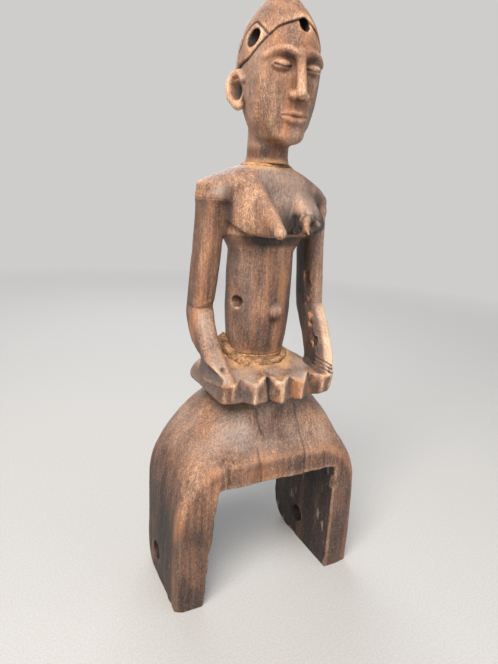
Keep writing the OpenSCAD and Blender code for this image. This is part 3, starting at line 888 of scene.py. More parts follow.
def lap(g):
    """Toothed plate that slopes up to the waist."""
    share = np.clip((g.z - PLATE_Z) / PLATE_T, 0, 1)
    top, foot, rim = (outline_gap(g.x, g.y, plate_outline(*shape))
                      for shape in ((1.0,), (NOTCH_LEFT, UNDERCUT), (0.0,)))
    form = keep(foot + (top - foot) * share, 0.9 * (g.z - plate_top(g.x, g.y)), 0.25)
    form = keep(form, rim + BEVEL * (g.z - BEVEL_Z) - 9 * ease(-3, -9, g.y), 0.8)
    reach = np.maximum(-g.x, g.x - LEFT_WIDER)
    side_wall = (reach - SIDE_FOOT - SIDE_SLOPE * (g.z - PLATE_Z)) / math.hypot(1, SIDE_SLOPE)
    return keep(form, side_wall, 0.6)


def make_plate():
    g = grid_round(PLATE_LOW, PLATE_HIGH, PLATE_STEP, 1.5)
    wrists = np.minimum(g.z - WRIST_Z, np.abs(g.x) - CHEST_W / 2)
    carve("lap_plate", "worn_wood", g, figure(g), paint_figure, PLATE_Z, WAIST_Z, wrists)


# Where each facet of the teeth starts, from right to left, and how orange, dusty and light it is
FACETS = (
    (-22.0, 0.80, 0.0, 0.06),
    (-17.5, 0.15, 0.2, 0.02),
    (-13.6, 0.20, 0.2, -0.10),
    (-10.8, 0.20, 0.2, 0.02),
    (-3.6, 0.60, 0.0, -0.02),
    (-0.6, 0.20, 0.2, 0.08),
    (4.6, 0.42, 0.0, 0.00),
    (8.2, 0.40, 0.1, 0.06),
    (13.8, 0.20, 0.0, -0.08),
    (18.2, 0.60, 0.0, 0.20))


def paint_lap(p, share):
    """Top with dust, painted sheen and golden crumbs round the waist, teeth whose facets are each worn their
    own way, and painted shade along the foot and in the pits.
    """
    x, y, z = p.points.T
    rough = p.noise((3, 3, 4), 41)
    mottle = p.noise((1.3, 1.3, 1.6), 43)
    ring = np.hypot(x / (WAIST_W / 2), (y - BODY_Y) / (WAIST_D / 2))
    rim = ease(-0.7, -0.3, outline_gap(x, y, plate_outline(1.0)))
    wall = np.maximum(rim, ease(-0.35, -0.75, z - plate_top(x, y))) * share
    corner = np.where(x < 0, -RIGHT_CORNER[0], LEFT_CORNER[0] - 1.2)
    front = ease(-8, -12, y) * (1 - ease(-1, 0, np.abs(x) - corner) * ease(-15.6, -14.6, y))
    teeth = wall * front
    flank = share * ease(20.5, 22.5, np.abs(x)) * (1 - front)
    top = np.maximum(share - wall - flank, 0)
    starts, *wear_and_shade = np.array(FACETS).T
    facet = np.clip(np.searchsorted(starts, x) - 1, 0, len(FACETS) - 1)
    warm, dust, light = (values[facet] for values in wear_and_shade)
    p.tone += 0.13 * top + teeth * (0.06 + light) - 0.04 * (wall - teeth) - 0.24 * flank
    turn = ((*RIGHT_CORNER, RIM_Z + 3), (RIGHT_CORNER[0], RIGHT_CORNER[1] + UNDERCUT, PLATE_Z))
    p.tone += share * np.clip(-1.8 * p.edge - 0.10, 0, 0.26) * (1 - p.stripe(turn, 2.2))
    p.orange += teeth * warm * ease(-0.6, 0.7, rough + 0.9 * mottle)
    p.dark += 0.45 * teeth * ease(0.3, 1.0, mottle - 0.4 * rough)
    for across, ahead in TEETH:
        ridge = wall * p.stripe(((across, ahead, RIM_Z), (across, ahead + UNDERCUT, PLATE_Z)), 0.9)
        p.tone += 0.12 * ridge
        p.dark *= 1 - 0.7 * ridge
    # Dust on the facets and the flank, and dust with a painted sheen on the top
    p.grey += teeth * dust + 0.25 * flank + 0.50 * top * ease(-0.8, 0.6, rough) * ease(1.05, 1.45, ring)
    p.gold += 0.75 * top * ease(1.42, 1.06, ring + 0.16 * rough)
    p.gold += 0.40 * top * ease(0.2, 1.0, p.noise((5, 5, 5), 42))
    # Painted shade along the plate's foot, where it sits on the stirrup
    p.dark += 0.45 * share * ease(PLATE_Z + 1.2, PLATE_Z, z)
    p.dark += 0.50 * p.spot(*TOOTH_STAIN) * ease(-1, 0.3, rough)
    stain = p.spot(*CORNER_STAIN) ** 0.6
    # A dark stain, and painted shade in the two pits
    p.dark += 0.80 * stain + 0.85 * p.spot(FACET_HOLE, 1.7) + 0.8 * p.spot(HAND_HOLE, 1.5)
    p.tone -= 0.25 * stain
    p.groove(PLATE_CRACK, width=0.6, strength=1.0)


# Arms

ELBOW_CRACK = (
    (-27.5, 0.5, 108.9), (-25.0, -1.0, 108.0), (-22.8, -1.2, 108.5), (-20.6, -0.9, 107.5), (-18.3, 1, 107.9))
ELBOW_CHIPS = (
    (18.4, 0.2, 119.0), (19.0, -0.4, 113.5), (19.4, -1.2, 107.5), (19.4, -4.2, 100.5), (19.6, -8.4, 93.5))
ELBOW_PITS = ((-20.6, -1.0, 111.2), (-23.0, -1.4, 110.6), (-19.6, 0.4, 109.2))
ELBOW_SOOT = (-21.5, -1, 110), (6, 5, 3.0)
WRIST_LINES = [((WRIST_X - 4.2, WRIST_Y - 3, z + 1.6), (WRIST_X + 3.4, WRIST_Y - 3, z - 2.4))
               for z in (88.6, 87.2, 85.8)]
# Rings of a hand: height, distance from the middle, reach to the front and half width
HAND_ROWS = ((WRIST_Z - 1.9, 20.6, 3.6, 4.2), (RIM_Z, 20.4, 4.4, 4.4))
ARM_RINGS = 8
TOP_RIGHT, TOP_LEFT = CAP_Z + 1.5, CAP_Z - 2.0


def arm_rows(side):
    """Rings of a whole arm from the shoulder's seat over the elbow to the hand."""
    rows = []
    for drop in np.linspace(0, 1, ARM_RINGS + 1):
        z = CAP_Z + (ELBOW_Z - CAP_Z) * drop
        x = SHOULDER_X + (ELBOW_X - SHOULDER_X) * drop ** 1.5
        rows.append(oval_row(z, side * x, BODY_Y, 4.4 - 0.2 * drop, 5.5 - 0.7 * drop, 3.4))
    for drop in np.linspace(0, 1, ARM_RINGS + 1)[1:]:
        swell = math.sin(math.pi * drop)
        z = ELBOW_Z + (WRIST_Z - ELBOW_Z) * drop
        x = ELBOW_X + (WRIST_X - ELBOW_X) * drop ** 1.6 + 0.8 * swell
        y = BODY_Y - WRIST_FRONT * drop ** 1.3
        front = 4.8 - 2.2 * drop ** 2 + 0.6 * swell
        rows.append((z, side * x, y, 4.4 - 0.5 * drop, front, 4.8 + 4.4 * drop, 4.2, 3.8))
    for z, x, front, half_w in HAND_ROWS:
        rows.append((z, side * x, WRIST_Y - 0.4, half_w, front, 9.4, 3.6, 3.8))
    return rows


def arm(g, side):
    """Arm that ends inside the shoulder, lower on the left, and in a hand flush with the plate's corner."""
    top = TOP_RIGHT if side < 0 else TOP_LEFT
    form = keep(loft(g, arm_rows(side), 1.4), np.maximum(g.z - top, RIM_Z - 1.5 - g.z), 0.8)
    room = HAND_SPREAD * np.maximum(above_flank(g.y, g.z), 0)
    room = room - HAND_SUNK * ease(RIM_Z - 0.2, RIM_Z - 1.4, g.z)
    return keep(form, outline_gap(g.x, g.y, plate_outline(0.0)) - room, 0.3)


def make_arm(side, word):
    g = grid_round(np.minimum(ARM_LOW, FOREARM_LOW), np.maximum(ARM_HIGH, FOREARM_HIGH), ARM_STEP, 3.6)
    if side < 0:
        g = Grid([-g.axes[0][::-1], g.axes[1], g.axes[2]], g.step)
    form = figure(g)
    inner = CHEST_W / 2 - LAP - np.abs(g.x)
    for part, slot, low, high in (
            ("_upper_arm", "red_wood", ELBOW_Z, CAP_Z), ("_forearm", "worn_wood", WRIST_Z, ELBOW_Z)):
        carve(word + part, slot, g, form, paint_figure, low - LAP, high + LAP, inner)


def paint_arms(p, share):
    """Red-brown upper arms with a painted highlight on the right one's outer front, forearms with dust and
    painted sheen on top and a painted highlight on the right one's ridge, and painted shade on the inner
    faces.
    """
    x, y, z = p.points.T
    heights, *table = np.array(sorted(arm_rows(1))).T
    middle_x, middle_y, half_w, reach = (np.interp(z, heights, values) for values in table[:4])
    out, ahead = (np.abs(x) - middle_x) / half_w, (middle_y - y) / reach
    rough = p.noise((3, 3, 9), 52)
    spots = p.noise((0.9, 0.9, 1.5), 53) + 0.6 * p.noise((0.45, 0.45, 0.7), 54)
    forearm = ease(ELBOW_Z + 1.0, ELBOW_Z - 2.5, z + rough) * share
    upper = share - forearm
    right = x < 0
    # Painted highlight down the right upper arm's outer front, flecked with orange
    highlight_strip = bell(out, 0.45, 0.30) * ease(0.1, 0.6, ahead) * right
    inner = ease(-0.35, -0.8, out)
    outer = ease(-0.45, 0.05, out) * (1 - right)
    facet = ease(0.45, 0.85, ahead) * np.where(right, ease(0.90, 0.45, np.abs(out)), outer)
    # Painted highlight along a ridge of the right forearm
    ridge = bell(out, 0.35, 0.16) * ease(0.5, 0.8, ahead) * right
    chipped = p.stripe(ELBOW_CHIPS, 2.4) * ease(0.3, 0.8, spots)
    p.tone += upper * (0.12 * highlight_strip - 0.05 + 0.23 * outer) + 0.30 * forearm * outer + 0.25 * chipped
    p.tone += forearm * (0.20 * facet + 0.12 * ridge + 0.10 * right * ease(98, 91, z))
    p.orange += 0.45 * upper * highlight_strip * ease(-0.9, 0.5, rough) + 0.6 * chipped
    p.orange += 0.40 * forearm * right * (1 - facet) * ease(-0.6, 0.7, rough)
    p.orange += 0.35 * forearm * right * ease(-0.2, -0.7, out) * ease(-0.8, 0.4, rough)
    # Dust and painted sheen on the forearms' top facets, which are also painted lighter
    p.grey += 0.42 * forearm * facet * ease(-0.9, 0.4, rough)
    p.grey += 0.30 * upper * outer * ease(-0.8, 0.5, rough)
    # Painted shade on the arms' inner faces, deepest on the left arm
    p.dark += 0.60 * share * inner * (1 - right) + 0.25 * upper * inner * right
    p.dark *= 1 - 0.8 * chipped
    p.dark += 0.55 * p.spot(*ELBOW_SOOT) * ease(0.0, 0.7, spots)
    for pit in ELBOW_PITS:
        p.orange += 0.7 * p.spot(pit, 1.5)
    p.groove(ELBOW_CRACK, width=0.6, strength=0.35 * ease(-0.6, 0.3, spots))
    for route in WRIST_LINES:
        p.groove(route, width=0.5, strength=0.6)


# Torso, and the field that it shares with the arms, the hands and the plate

LEFT_DROP, LEFT_START = 3.6, 9.0
SHELF_Z = 133.6
NAVEL_X, NAVEL_Z, NAVEL_RADII = 1.7, 106.8, (3.0, 1.9, 2.7)
NAVEL_LIGHT = (NAVEL_X + 0.4, -9, NAVEL_Z + 1.2), (4.0, 8, 3.4)
NAVEL_DUST = (NAVEL_X + 0.2, -9, NAVEL_Z + 1.6), (3.6, 8, 3.0)
NAVEL_SHADE = (NAVEL_X - 0.8, -8, NAVEL_Z - 3.0), (3.4, 8, 1.2)
KNOT = (-11.2, -0.8, 110.0)
KNOT_CHIP = (-11.2, -1.6, 107.6), (1.8, 2.4, 0.9)
CAP_DUST_AND_SHEEN = (-20.4, -4, 147.6), (4.6, 5, 3.2)
RIGHT_TIP = (-6.8, BUST_Y + 2.4, 136.0)
RIGHT_RIDGE = (-8.4, -3.0, 149.0)
RIGHT_BREAST = (
    (-6.8, BUST_Y + 1.2, 137.4), (-6.7, BUST_Y + 2.2, 134.4), (-8.3, 1.5, 155.8), (-16.4, 0.8, 150.2),
    (-18.4, 0.0, 143.0), (-18.2, -0.4, 137.4), (-12.0, -7.5, SHELF_Z), (0.6, -5.6, SHELF_Z + 0.2),
    (-8.0, 8.0, 141.0))
LEFT_TIP, LEFT_TIP_RADII = (7.6, -16.2, 137.0), (4, 4, 3)
LEFT_HOLLOW, LEFT_HOLLOW_RADII = (10.0, -17.2, 138.4), (6.0, 3.8, 3.6)
LEFT_STUMP = ((7.2, -13.8, 139.8), (7.5, -14.8, 135.6))
LEFT_DUST_AND_SHEEN = (9.0, -14.5, 142.0), (5.5, 5.0, 3.4)
LEFT_BREAST = (
    (6.2, -16.0, 139.6), (6.8, -15.2, 134.6), (15.0, -13.4, 139.8), (15.2, -12.4, 134.9),
    (18.8, -9.0, 136.2), (19.4, -5.6, 142.6), (16.6, 0.8, 150.2), (8.3, 1.5, 155.8),
    (11.5, -5.0, SHELF_Z), (2.4, -5.6, SHELF_Z + 0.2), (8.0, 8.0, 141.0))
PITS = (
    (KNOT, (2.4, 2.6, 1.9), 0.5),
    (FACET_HOLE, (1.1, 0.9, 1.2), 0.5),
    (HAND_HOLE, (1.0, 1.3, 0.8), 0.5),
    *((pit, (1.0, 0.7, 0.8), 0.4) for pit in ELBOW_PITS))
PIT_MARGIN = 4.0


def left_drop(x):
    """How far the left shoulder hangs lower than the right one."""
    return LEFT_DROP * (np.maximum(x - LEFT_START, 0) / (HALF_SHOULDER - LEFT_START)) ** 2


def body_loft(g, rows, spread=1.5):
    """Loft round the torso's axis. A row holds z, width, depth and power."""
    return loft(g, [oval_row(z, 0, BODY_Y, w / 2, d / 2, power) for z, w, d, power in rows], spread)


def column(g):
    """Waist and chest."""
    rise, reach = CHEST_Z - TORSO_Z, CAP_Z - CHEST_Z
    return body_loft(g, (
        (TORSO_Z - 1, 0.86 * WAIST_W, 0.87 * WAIST_D, 2.0),
        (TORSO_Z + 0.15 * rise, 0.94 * WAIST_W, 0.95 * WAIST_D, 2.1),
        (TORSO_Z + 0.40 * rise, WAIST_W, WAIST_D, 2.1),
        (TORSO_Z + 0.70 * rise, WAIST_W, WAIST_D, 2.1),
        (TORSO_Z + 0.92 * rise, 0.99 * WAIST_W, 0.96 * WAIST_D, 2.1),
        (CHEST_Z + 0.5, 0.90 * CHEST_W, 0.94 * CHEST_D, 2.2),
        (CHEST_Z + 0.2 * reach, CHEST_W, 0.96 * CHEST_D, 2.5),
        (CAP_Z, CHEST_W, 0.94 * CHEST_D, 2.6),
        (CAP_Z + 6, 0.80 * CHEST_W, 0.8 * CHEST_D, 2.6),
        (CAP_Z + 12, 0.20 * CHEST_W, 0.2 * CHEST_D, 2.4)))


def shoulders(g):
    """Yoke of the shoulders, whose left side hangs lower."""
    high = Grid(g.axes, g.step)
    high.z = g.z + left_drop(g.x)
    cap, width = NECK_Z - CAP_Z, 2 * HALF_SHOULDER
    yoke = body_loft(high, (
        (CAP_Z - 2, width, 15.0, 2.8),
        (CAP_Z + 0.15 * cap, width, 17.5, 2.8),
        (CAP_Z + 0.42 * cap, width, 19.0, 2.6),
        (CAP_Z + 0.52 * cap, 0.94 * width, 19.5, 2.5),
        (CAP_Z + 0.64 * cap, 0.82 * width, 19.5, 2.4),
        (CAP_Z + 0.85 * cap, 0.57 * width, 18.5, 2.2),
        (NECK_Z, NECK_D + 3.2, NECK_D + 2.7, 2.0),
        (NECK_Z + 3, NECK_D - 1, NECK_D - 1, 2.0)), 0.9)
    return keep(yoke, CAP_Z - 0.8 - high.z, 1.6)


def add_breasts(g, form):
    """Pointed right breast with a ridge down to its tip, and a left one whose tip has broken off."""
    ridge = rod(g, RIGHT_RIDGE, RIGHT_TIP, 3.6, 2.0)
    form = join(form, join(block(g, RIGHT_BREAST, 2.0), ridge, 2.0), 1.8)
    form = join(form, block(g, LEFT_BREAST, 2.0), 1.8)
    form = cut(form, ball(g, LEFT_HOLLOW, LEFT_HOLLOW_RADII) + 0.6 * noise(g, (1.6, 1.6, 2.0), 65), 0.8)
    return join(form, rod(g, *LEFT_STUMP, 0.7, 1.1) + 0.4 * noise(g, (1.2, 1.2, 1.5), 67), 0.8)


def crumble_tip(g, field):
    """Roughens what is left round the broken tip."""
    crumbs = 0.8 * np.maximum(noise(g, (1.5, 1.5, 1.8), 61) + 0.2, 0)
    return field + crumbs * ease(6.0, 2.0, ball(g, LEFT_TIP, LEFT_TIP_RADII))


def chip_elbow(g, field):
    """Breaks a rough row of chips out of the left arm's inner edge."""
    return cut(field, chain(g, ELBOW_CHIPS, 0.9) + 0.8 * noise(g, (1.6, 1.6, 2.4), 51), 0.5)


def figure(g):
    """Torso, arms, hands and lap plate as one weathered field."""
    form = add_breasts(g, join(column(g), shoulders(g), 2.5))
    for side in SIDES:
        web = rod(g, (side * 16.2, 0.6, SHELF_Z + 0.8), (side * 17.0, 0.2, 146.0), 1.8, 1.8)
        form = join(join(form, arm(g, side), 1.4), web, 1.4)
    form = join(form, ball(g, (NAVEL_X, BODY_Y - WAIST_D / 2, NAVEL_Z), NAVEL_RADII), 1.2)
    form = join(join(form, block(g, HIP, 1.0), 1.0), lap(g), 1.2)
    form = weathered(g, form, *FIGURE_WEAR)
    change(g, form, [LEFT_TIP], 9.0, crumble_tip)
    change(g, form, ELBOW_CHIPS, 3.0, chip_elbow)
    for pit, radii, blend in PITS:
        change(g, form, [pit], PIT_MARGIN, lambda part, f: cut(f, ball(part, pit, radii), blend))
    score(g, form, ELBOW_CRACK, width=0.6, depth=0.2)
    for route in (PLATE_CRACK, *WRIST_LINES):
        score(g, form, route, width=0.6, depth=0.5)
    return form


def make_torso():
    g = grid_round(TORSO_LOW, TORSO_HIGH, TORSO_STEP)
    arms = np.minimum(np.abs(g.x) - CHEST_W / 2 - LAP, CAP_Z - LAP - g.z)
    carve("torso", "red_wood", g, figure(g), paint_figure, TORSO_Z, NECK_Z, arms)


def paint_figure(p):
    """Paint of everything from the lap plate to the shoulders."""
    x, y, z = p.points.T
    p.wear_and_shade(base=0.36, light=0.5)
    aside = np.abs(x)
    low = np.where(aside > WRIST_X, ease(0.5, -0.5, above_flank(y, z)), ease(0.9, 0.3, z - plate_top(x, y)))
    arms = ease(CHEST_W / 2 - 0.8, CHEST_W / 2 + 0.8, aside) * ease(CAP_Z + 0.6, CAP_Z - 0.8, z) * (1 - low)
    mottle = p.noise((2.6, 2.6, 4.5), 66) * (1 - low)
    p.tone += 0.08 * mottle
    p.grey += 0.06 * ease(0.2, 1.0, -mottle)
    paint_lap(p, low)
    paint_arms(p, arms)
    paint_trunk(p, 1 - low - arms)


def paint_trunk(p, share):
    """Dark red-brown waist, and a chest that is warm on the right, partly as a painted highlight, and dusty
    with painted sheen on the left; painted shade lies under, between and beside the breasts.
    """
    x, y, z = p.points.T
    rough = p.noise((4, 4, 8), 62)
    streak = p.noise((2.0, 2.0, 16), 63)
    spots = p.noise((1.1, 1.1, 1.4), 64)
    fade = 12 * ease(-4, 8, y)
    chest = ease(SHELF_Z - 0.6 - fade, SHELF_Z + 1.5 + fade, z) * share
    waist = share - chest
    front = ease(2, -8, y)
    right = ease(-3.5, -7.5, x + 0.10 * (z - RIGHT_TIP[2]))
    # Pale patch of dust and painted sheen on the right shoulder's cap
    cap = p.spot(*CAP_DUST_AND_SHEEN)
    # Dust and painted sheen on the top of the broken left breast
    dust_sheen_top = p.spot(*LEFT_DUST_AND_SHEEN) * chest
    # The chest is lighter and warmer on the right, partly as a painted highlight, and greyer on the left
    # with dust and painted sheen
    p.tone += chest * (0.12 + 0.08 * right) + waist * (0.11 + 0.13 * streak) + 0.20 * cap - 0.10 * dust_sheen_top
    p.orange += 0.46 * waist * ease(-0.4, 0.8, streak) * front
    p.orange += 0.22 * chest * right * ease(-0.4, 0.9, rough)
    p.grey += 0.45 * chest * (1 - right) * ease(-1.0, 0.5, rough) + 0.9 * cap + 0.40 * dust_sheen_top
    p.grey += 0.14 * waist * ease(-4, -9, x) * ease(-0.6, 0.7, rough)
    p.gold += 0.30 * share * ease(TORSO_Z + 2.0, TORSO_Z, z + 0.8 * rough)
    p.gold += 0.55 * share * ease(NECK_Z - 1.6, NECK_Z, z + 0.6 * rough)
    # Painted shadow under the breasts' shelf
    shelf_shadow = ease(SHELF_Z + 0.4, SHELF_Z - 0.4, z) * ease(SHELF_Z - 4.8, SHELF_Z - 2.6, z)
    p.dark += 0.95 * share * front * shelf_shadow
    # Painted shade in the armpits
    for side in SIDES:
        armpit_shade = p.stripe([(side * 17.4, -3, 147), (side * 17.0, -3, SHELF_Z)], 3.2)
        p.dark += 0.45 * armpit_shade * ease(0.5, -2.5, y)
    # Painted shadow in the cleft between the breasts
    p.dark += 0.7 * bell(x, 2.6, 2.6) * chest * front * ease(146, 138, z)
    # Painted shade in the eroded hollow of the broken breast
    eroded_shade = ease(-6.0, -9.0, y) * ease(2.4, 4.4, x) * ease(143.6, 140.6, z + 1.2 * spots)
    p.dark += 0.85 * eroded_shade * chest * ease(-1.1, -0.2, spots)
    stump = p.stripe(LEFT_STUMP, 1.9) * ease(-1.2, 0.0, spots)
    p.orange += 0.55 * stump
    p.dark *= 1 - 0.9 * stump
    # Painted shade in the knot hole
    p.darken(0.95 * p.spot(KNOT, 2.9) ** 0.5)
    chip = p.spot(*KNOT_CHIP)
    p.tone += 0.40 * chip + 0.20 * p.spot(*NAVEL_LIGHT)
    p.grey += 0.25 * p.spot(*NAVEL_DUST)
    p.dark *= 1 - 0.7 * chip
    p.dark += 0.55 * p.spot(*NAVEL_SHADE)


# Head

# Rings of the skull as shares: height over the chin, width, and reach to the front and the back
SKULL = (
    (0.00, 0.30, 0.46, 0.10), (0.05, 0.52, 0.82, 0.34), (0.14, 0.72, 0.93, 0.52), (0.27, 0.87, 0.95, 0.74),
    (0.42, 0.97, 0.94, 0.92), (0.53, 1.00, 0.94, 1.00), (0.65, 0.93, 0.89, 0.99), (0.77, 0.78, 0.75, 0.90),
    (0.85, 0.60, 0.57, 0.73), (0.93, 0.36, 0.34, 0.46), (0.985, 0.15, 0.15, 0.2), (1.01, 0.03, 0.03, 0.03))
HEAD_H = CROWN_Z - CHIN_Z
FACE_POWER, BACK_POWER = 2.3, 2.1
# The hairline's height by the direction from the front in degrees, over 0 to the figure's left
HAIRLINE = (
    (-180, 179), (-135, 181), (-94, 186.4), (-72, 187.8), (-59, 190.8), (-45, 194), (-32, 196.8), (0, 199.5),
    (16, 200.2), (40, 197.4), (60, 192), (76, 188), (96, 186.4), (135, 181), (180, 179))
GABLE = (
    (12.4, 3.4, 190.6), (12.1, 2.2, 193.6), (11.5, 0.9, 196.2), (10.7, -1.6, 198.0), (10.2, -3.8, 198.4),
    (9.9, -6.3, 196.6), (9.2, -8.5, 194.4))
BROW_HOLE_X, BROW_HOLE_Z, BROW_HOLE_R, BROW_HOLE_END = 2.2, 198.5, 2.0, -6.4
EYE_X, EYE_Z = 5.5, 186.0
SOCKET_RADII = (4.4, 2.4, 2.8)
LID_OUT, LID_RADII = -1.2, (3.4, 2.0, 1.75)
BROW = ((1.2, 189.4, 0.4), (4.0, 190.6, 0.3), (7.0, 190.4, 0.1), (10.2, 188.4, -0.2))
NOSE_Z, BRIDGE_Z = 177.6, 190.0
WING_RADII, NOSTRIL_RADII = (1.5, 1.7, 1.35), (0.6, 0.9, 0.6)
MOUTH_Z = 171.6
UPPER_LIP = ((-4.1, 0.3, -0.3), (-1.3, 1.0, 0.25), (0, 0.75, 0.3), (1.3, 1.0, 0.25), (4.1, 0.3, -0.3))
LOWER_LIP = ((-3.7, -0.4, -0.3), (-1.6, -1.3, 0.2), (1.6, -1.3, 0.2), (3.7, -0.4, -0.3))
LIP_LINE = ((-4.8, 0.1, 0.3), (-2.0, -0.1, 1.1), (0, -0.15, 1.2), (2.0, -0.1, 1.1), (4.8, 0.1, 0.3))
CHIN_RADII = (4.6, 3.2, 3.0)
EAR_Z = CHIN_Z + 15
EAR_SHELL = (13.4, 2.6, 0.4), (1.8, 3.4, 4.8)
EAR_HOLLOW = (14.9, 1.2, 0.8), (2.2, 2.5, 3.4)
EAR_LOBE = (13.6, 1.5, -3.4), (1.4, 1.7, 1.4)
EAR_SHADE = (13.1, 1.2, 0.8), (2.4, 2.8, 3.8)
EAR_RIM = (
    (13.2, -0.6, 4.4), (13.9, 1.2, 6.4), (14.9, 3.6, 5.6), (15.5, 4.9, 2.6), (15.2, 4.4, -0.8),
    (14.2, 2.6, -2.8), (13.2, 0.9, -3.4))


def face_point(x, z, out=0.0):
    """Point on the skull's front at a place from the middle and a height, moved out by a distance."""
    heights, widths, fronts, _ = zip(*SKULL)
    wide, front = (np.interp((z - CHIN_Z) / HEAD_H, heights, shares) for shares in (widths, fronts))
    reach = HEAD_D / 2 * front * (1 - abs(2 * x / (HEAD_W * wide)) ** FACE_POWER) ** (1 / FACE_POWER)
    return (x, HEAD_Y - reach - out, z)


def ear_point(place, side):
    """Point on an ear from its place on the left one, with a height over the ears' own."""
    return (side * place[0], place[1], EAR_Z + place[2])


def gable(side):
    """Route of the groove round the cord bore's end."""
    return [(side * x, y, z) for x, y, z in GABLE]


def eye_slit(side):
    """Route of the line between the lids, on the front of the lids' ball."""
    x, y, z = face_point(side * EYE_X, EYE_Z, LID_OUT)
    return [(x + 2.8 * k, y - LID_RADII[1] * math.sqrt(1 - (0.9 * k) ** 2), z - 0.7 + 0.5 * k * k)
            for k in (-1, -0.5, 0, 0.5, 1)]


def add_eye(g, form, side):
    """Lowered lid in a shallow socket under a brow."""
    form = cut(form, ball(g, face_point(side * EYE_X, EYE_Z + 0.4, 1.1), SOCKET_RADII), 1.8)
    form = join(form, ball(g, face_point(side * EYE_X, EYE_Z, LID_OUT), LID_RADII), 0.7)
    form = cut(form, chain(g, eye_slit(side), 0.34), 0.3)
    return join(form, chain(g, [face_point(side * x, z, out) for x, z, out in BROW], 0.9), 1.6)


def add_nose(g, form):
    """Straight nose with rounded wings."""
    nose = rod(g, face_point(0, BRIDGE_Z, 0.1), face_point(0, NOSE_Z + 0.6, 2.0), 1.35, 1.75)
    for side in SIDES:
        nose = join(nose, ball(g, face_point(side * 2.2, NOSE_Z, 0.6), WING_RADII), 0.8)
    form = join(form, nose, 1.0)
    for side in SIDES:
        form = cut(form, ball(g, face_point(side * 1.2, NOSE_Z - 1.5, 1.8), NOSTRIL_RADII), 0.3)
    return form


def add_mouth(g, form):
    """Closed lips and a round chin."""
    upper, lower, line = (
        chain(g, [face_point(x, MOUTH_Z + z, out) for x, z, out in points], radius)
        for points, radius in ((UPPER_LIP, 0.85), (LOWER_LIP, 0.95), (LIP_LINE, 0.32)))
    form = cut(join(form, join(upper, lower, 0.2), 0.7), line, 0.3)
    return join(form, ball(g, face_point(0, CHIN_Z + 3.2, -1.8), CHIN_RADII), 2.4)


def add_ear(g, form, side):
    """Ear as a thin shell with a hollow, a rolled rim and a lobe."""
    shell, hollow, lobe = (ball(g, ear_point(place, side), radii)
                           for place, radii in (EAR_SHELL, EAR_HOLLOW, EAR_LOBE))
    form = cut(join(form, shell, 1.0), hollow, 0.5)
    form = join(form, chain(g, [ear_point(place, side) for place in EAR_RIM], 1.15), 0.7)
    return join(form, lobe, 0.7)


def hairline_height(x, y):
    """Height of the hairline round the head, by the direction from the head's axis."""
    turns, heights = zip(*HAIRLINE)
    return rounded(heights, np.degrees(np.arctan2(x, HEAD_Y - y)), turns, 6)


def head_form(g):
    """Skull with its face, ears, neck and grooved hair cap."""
    half_w, half_d = HEAD_W / 2, HEAD_D / 2
    powers = FACE_POWER, BACK_POWER
    form = loft(g, [
        (CHIN_Z + HEAD_H * up, 0, HEAD_Y, half_w * wide, half_d * front, half_d * back, *powers)
        for up, wide, front, back in SKULL], 1.6)
    neck = bore(g, 2, (0, BODY_Y, 0), NECK_D / 2 - 0.3 + 0.5 * ease(HEAD_Z + 3, HEAD_Z, g.z))
    form = join(form, np.maximum(neck, g.z - EAR_Z), 1.6)
    for side in SIDES:
        form = add_ear(g, add_eye(g, form, side), side)
    form = add_mouth(g, add_nose(g, form))
    above = g.z - hairline_height(g.x, g.y)
    form = form - 0.45 * ease(-0.2, 0.6, above) + 0.45 * bell(above, 0, 0.32)
    for side in SIDES:
        score(g, form, gable(side), width=0.45, depth=0.40, axes=(1, 2))
    return form


def make_head():
    g = grid_round(HEAD_LOW, HEAD_HIGH, HEAD_STEP, 1.5)
    form = weathered(g, head_form(g), *HEAD_WEAR)
    form = cut(form, bore(g, 0, CORD, CORD_R), 1.0)
    hole = np.maximum(bore(g, 1, (BROW_HOLE_X, 0, BROW_HOLE_Z), BROW_HOLE_R), g.y - BROW_HOLE_END)
    carve("head", "worn_wood", g, cut(form, hole, 0.8), paint_head, HEAD_Z, CROWN_Z)


def paint_head(p):
    """Mottled face, plain hair cap and dark neck, with painted shade along the hairline, in the ears and in
    the holes.
    """
    x, y, z = p.points.T
    p.wear_and_shade(base=0.60)
    above = z - hairline_height(x, y)
    hair = ease(-0.3, 0.8, above)
    bare = 1 - hair
    neck = ease(CHIN_Z + 1, CHIN_Z - 2, z)
    rough = p.noise((3, 3, 12), 71)
    mottle = p.noise((5, 5, 9), 73) * bare
    streak = 0.08 * p.noise((2.2, 2.2, 4.5), 74) + 0.09 * p.noise((1.3, 1.3, 8), 75)
    p.orange += 0.35 * ease(-0.4, 0.8, rough) * (1 - 0.4 * hair)
    p.tone += 0.03 * hair + bare * (streak - 0.10 * ease(6, 12, np.abs(x)) * ease(0.0, 0.9, rough)) - 0.06
    p.tone -= neck * (0.36 + 0.10 * p.noise((1.2, 1.2, 9), 72))
    p.grey += 0.35 * ease(0.0, 0.9, mottle) * (1 - neck)
    p.gold += 0.6 * ease(HEAD_Z + 2.2, HEAD_Z, z + 0.7 * rough)
    # Dark mottling, and a painted shadow line along the hairline under the cap's rim
    p.dark += 0.22 * ease(0.2, 1.0, -mottle) + 0.85 * bell(above, 0, 0.34) * (z > CHIN_Z)
    for side in SIDES:
        p.groove(gable(side), width=0.45, strength=0.8, axes=(1, 2))
    for side in SIDES:
        p.darken(0.7 * p.stripe(eye_slit(side), 0.6))
        p.dark += 0.9 * p.spot(ear_point(EAR_SHADE[0], side), EAR_SHADE[1]) ** 0.5
    # Painted shade inside the cord bore and the brow hole
    cord_hole = np.hypot(y - CORD[1], z - CORD[2]) < CORD_R + 0.15
    brow_hole = (np.hypot(x - BROW_HOLE_X, z - BROW_HOLE_Z) < BROW_HOLE_R + 0.1) & (y < 0)
    p.dark[cord_hole | brow_hole] = 0.95


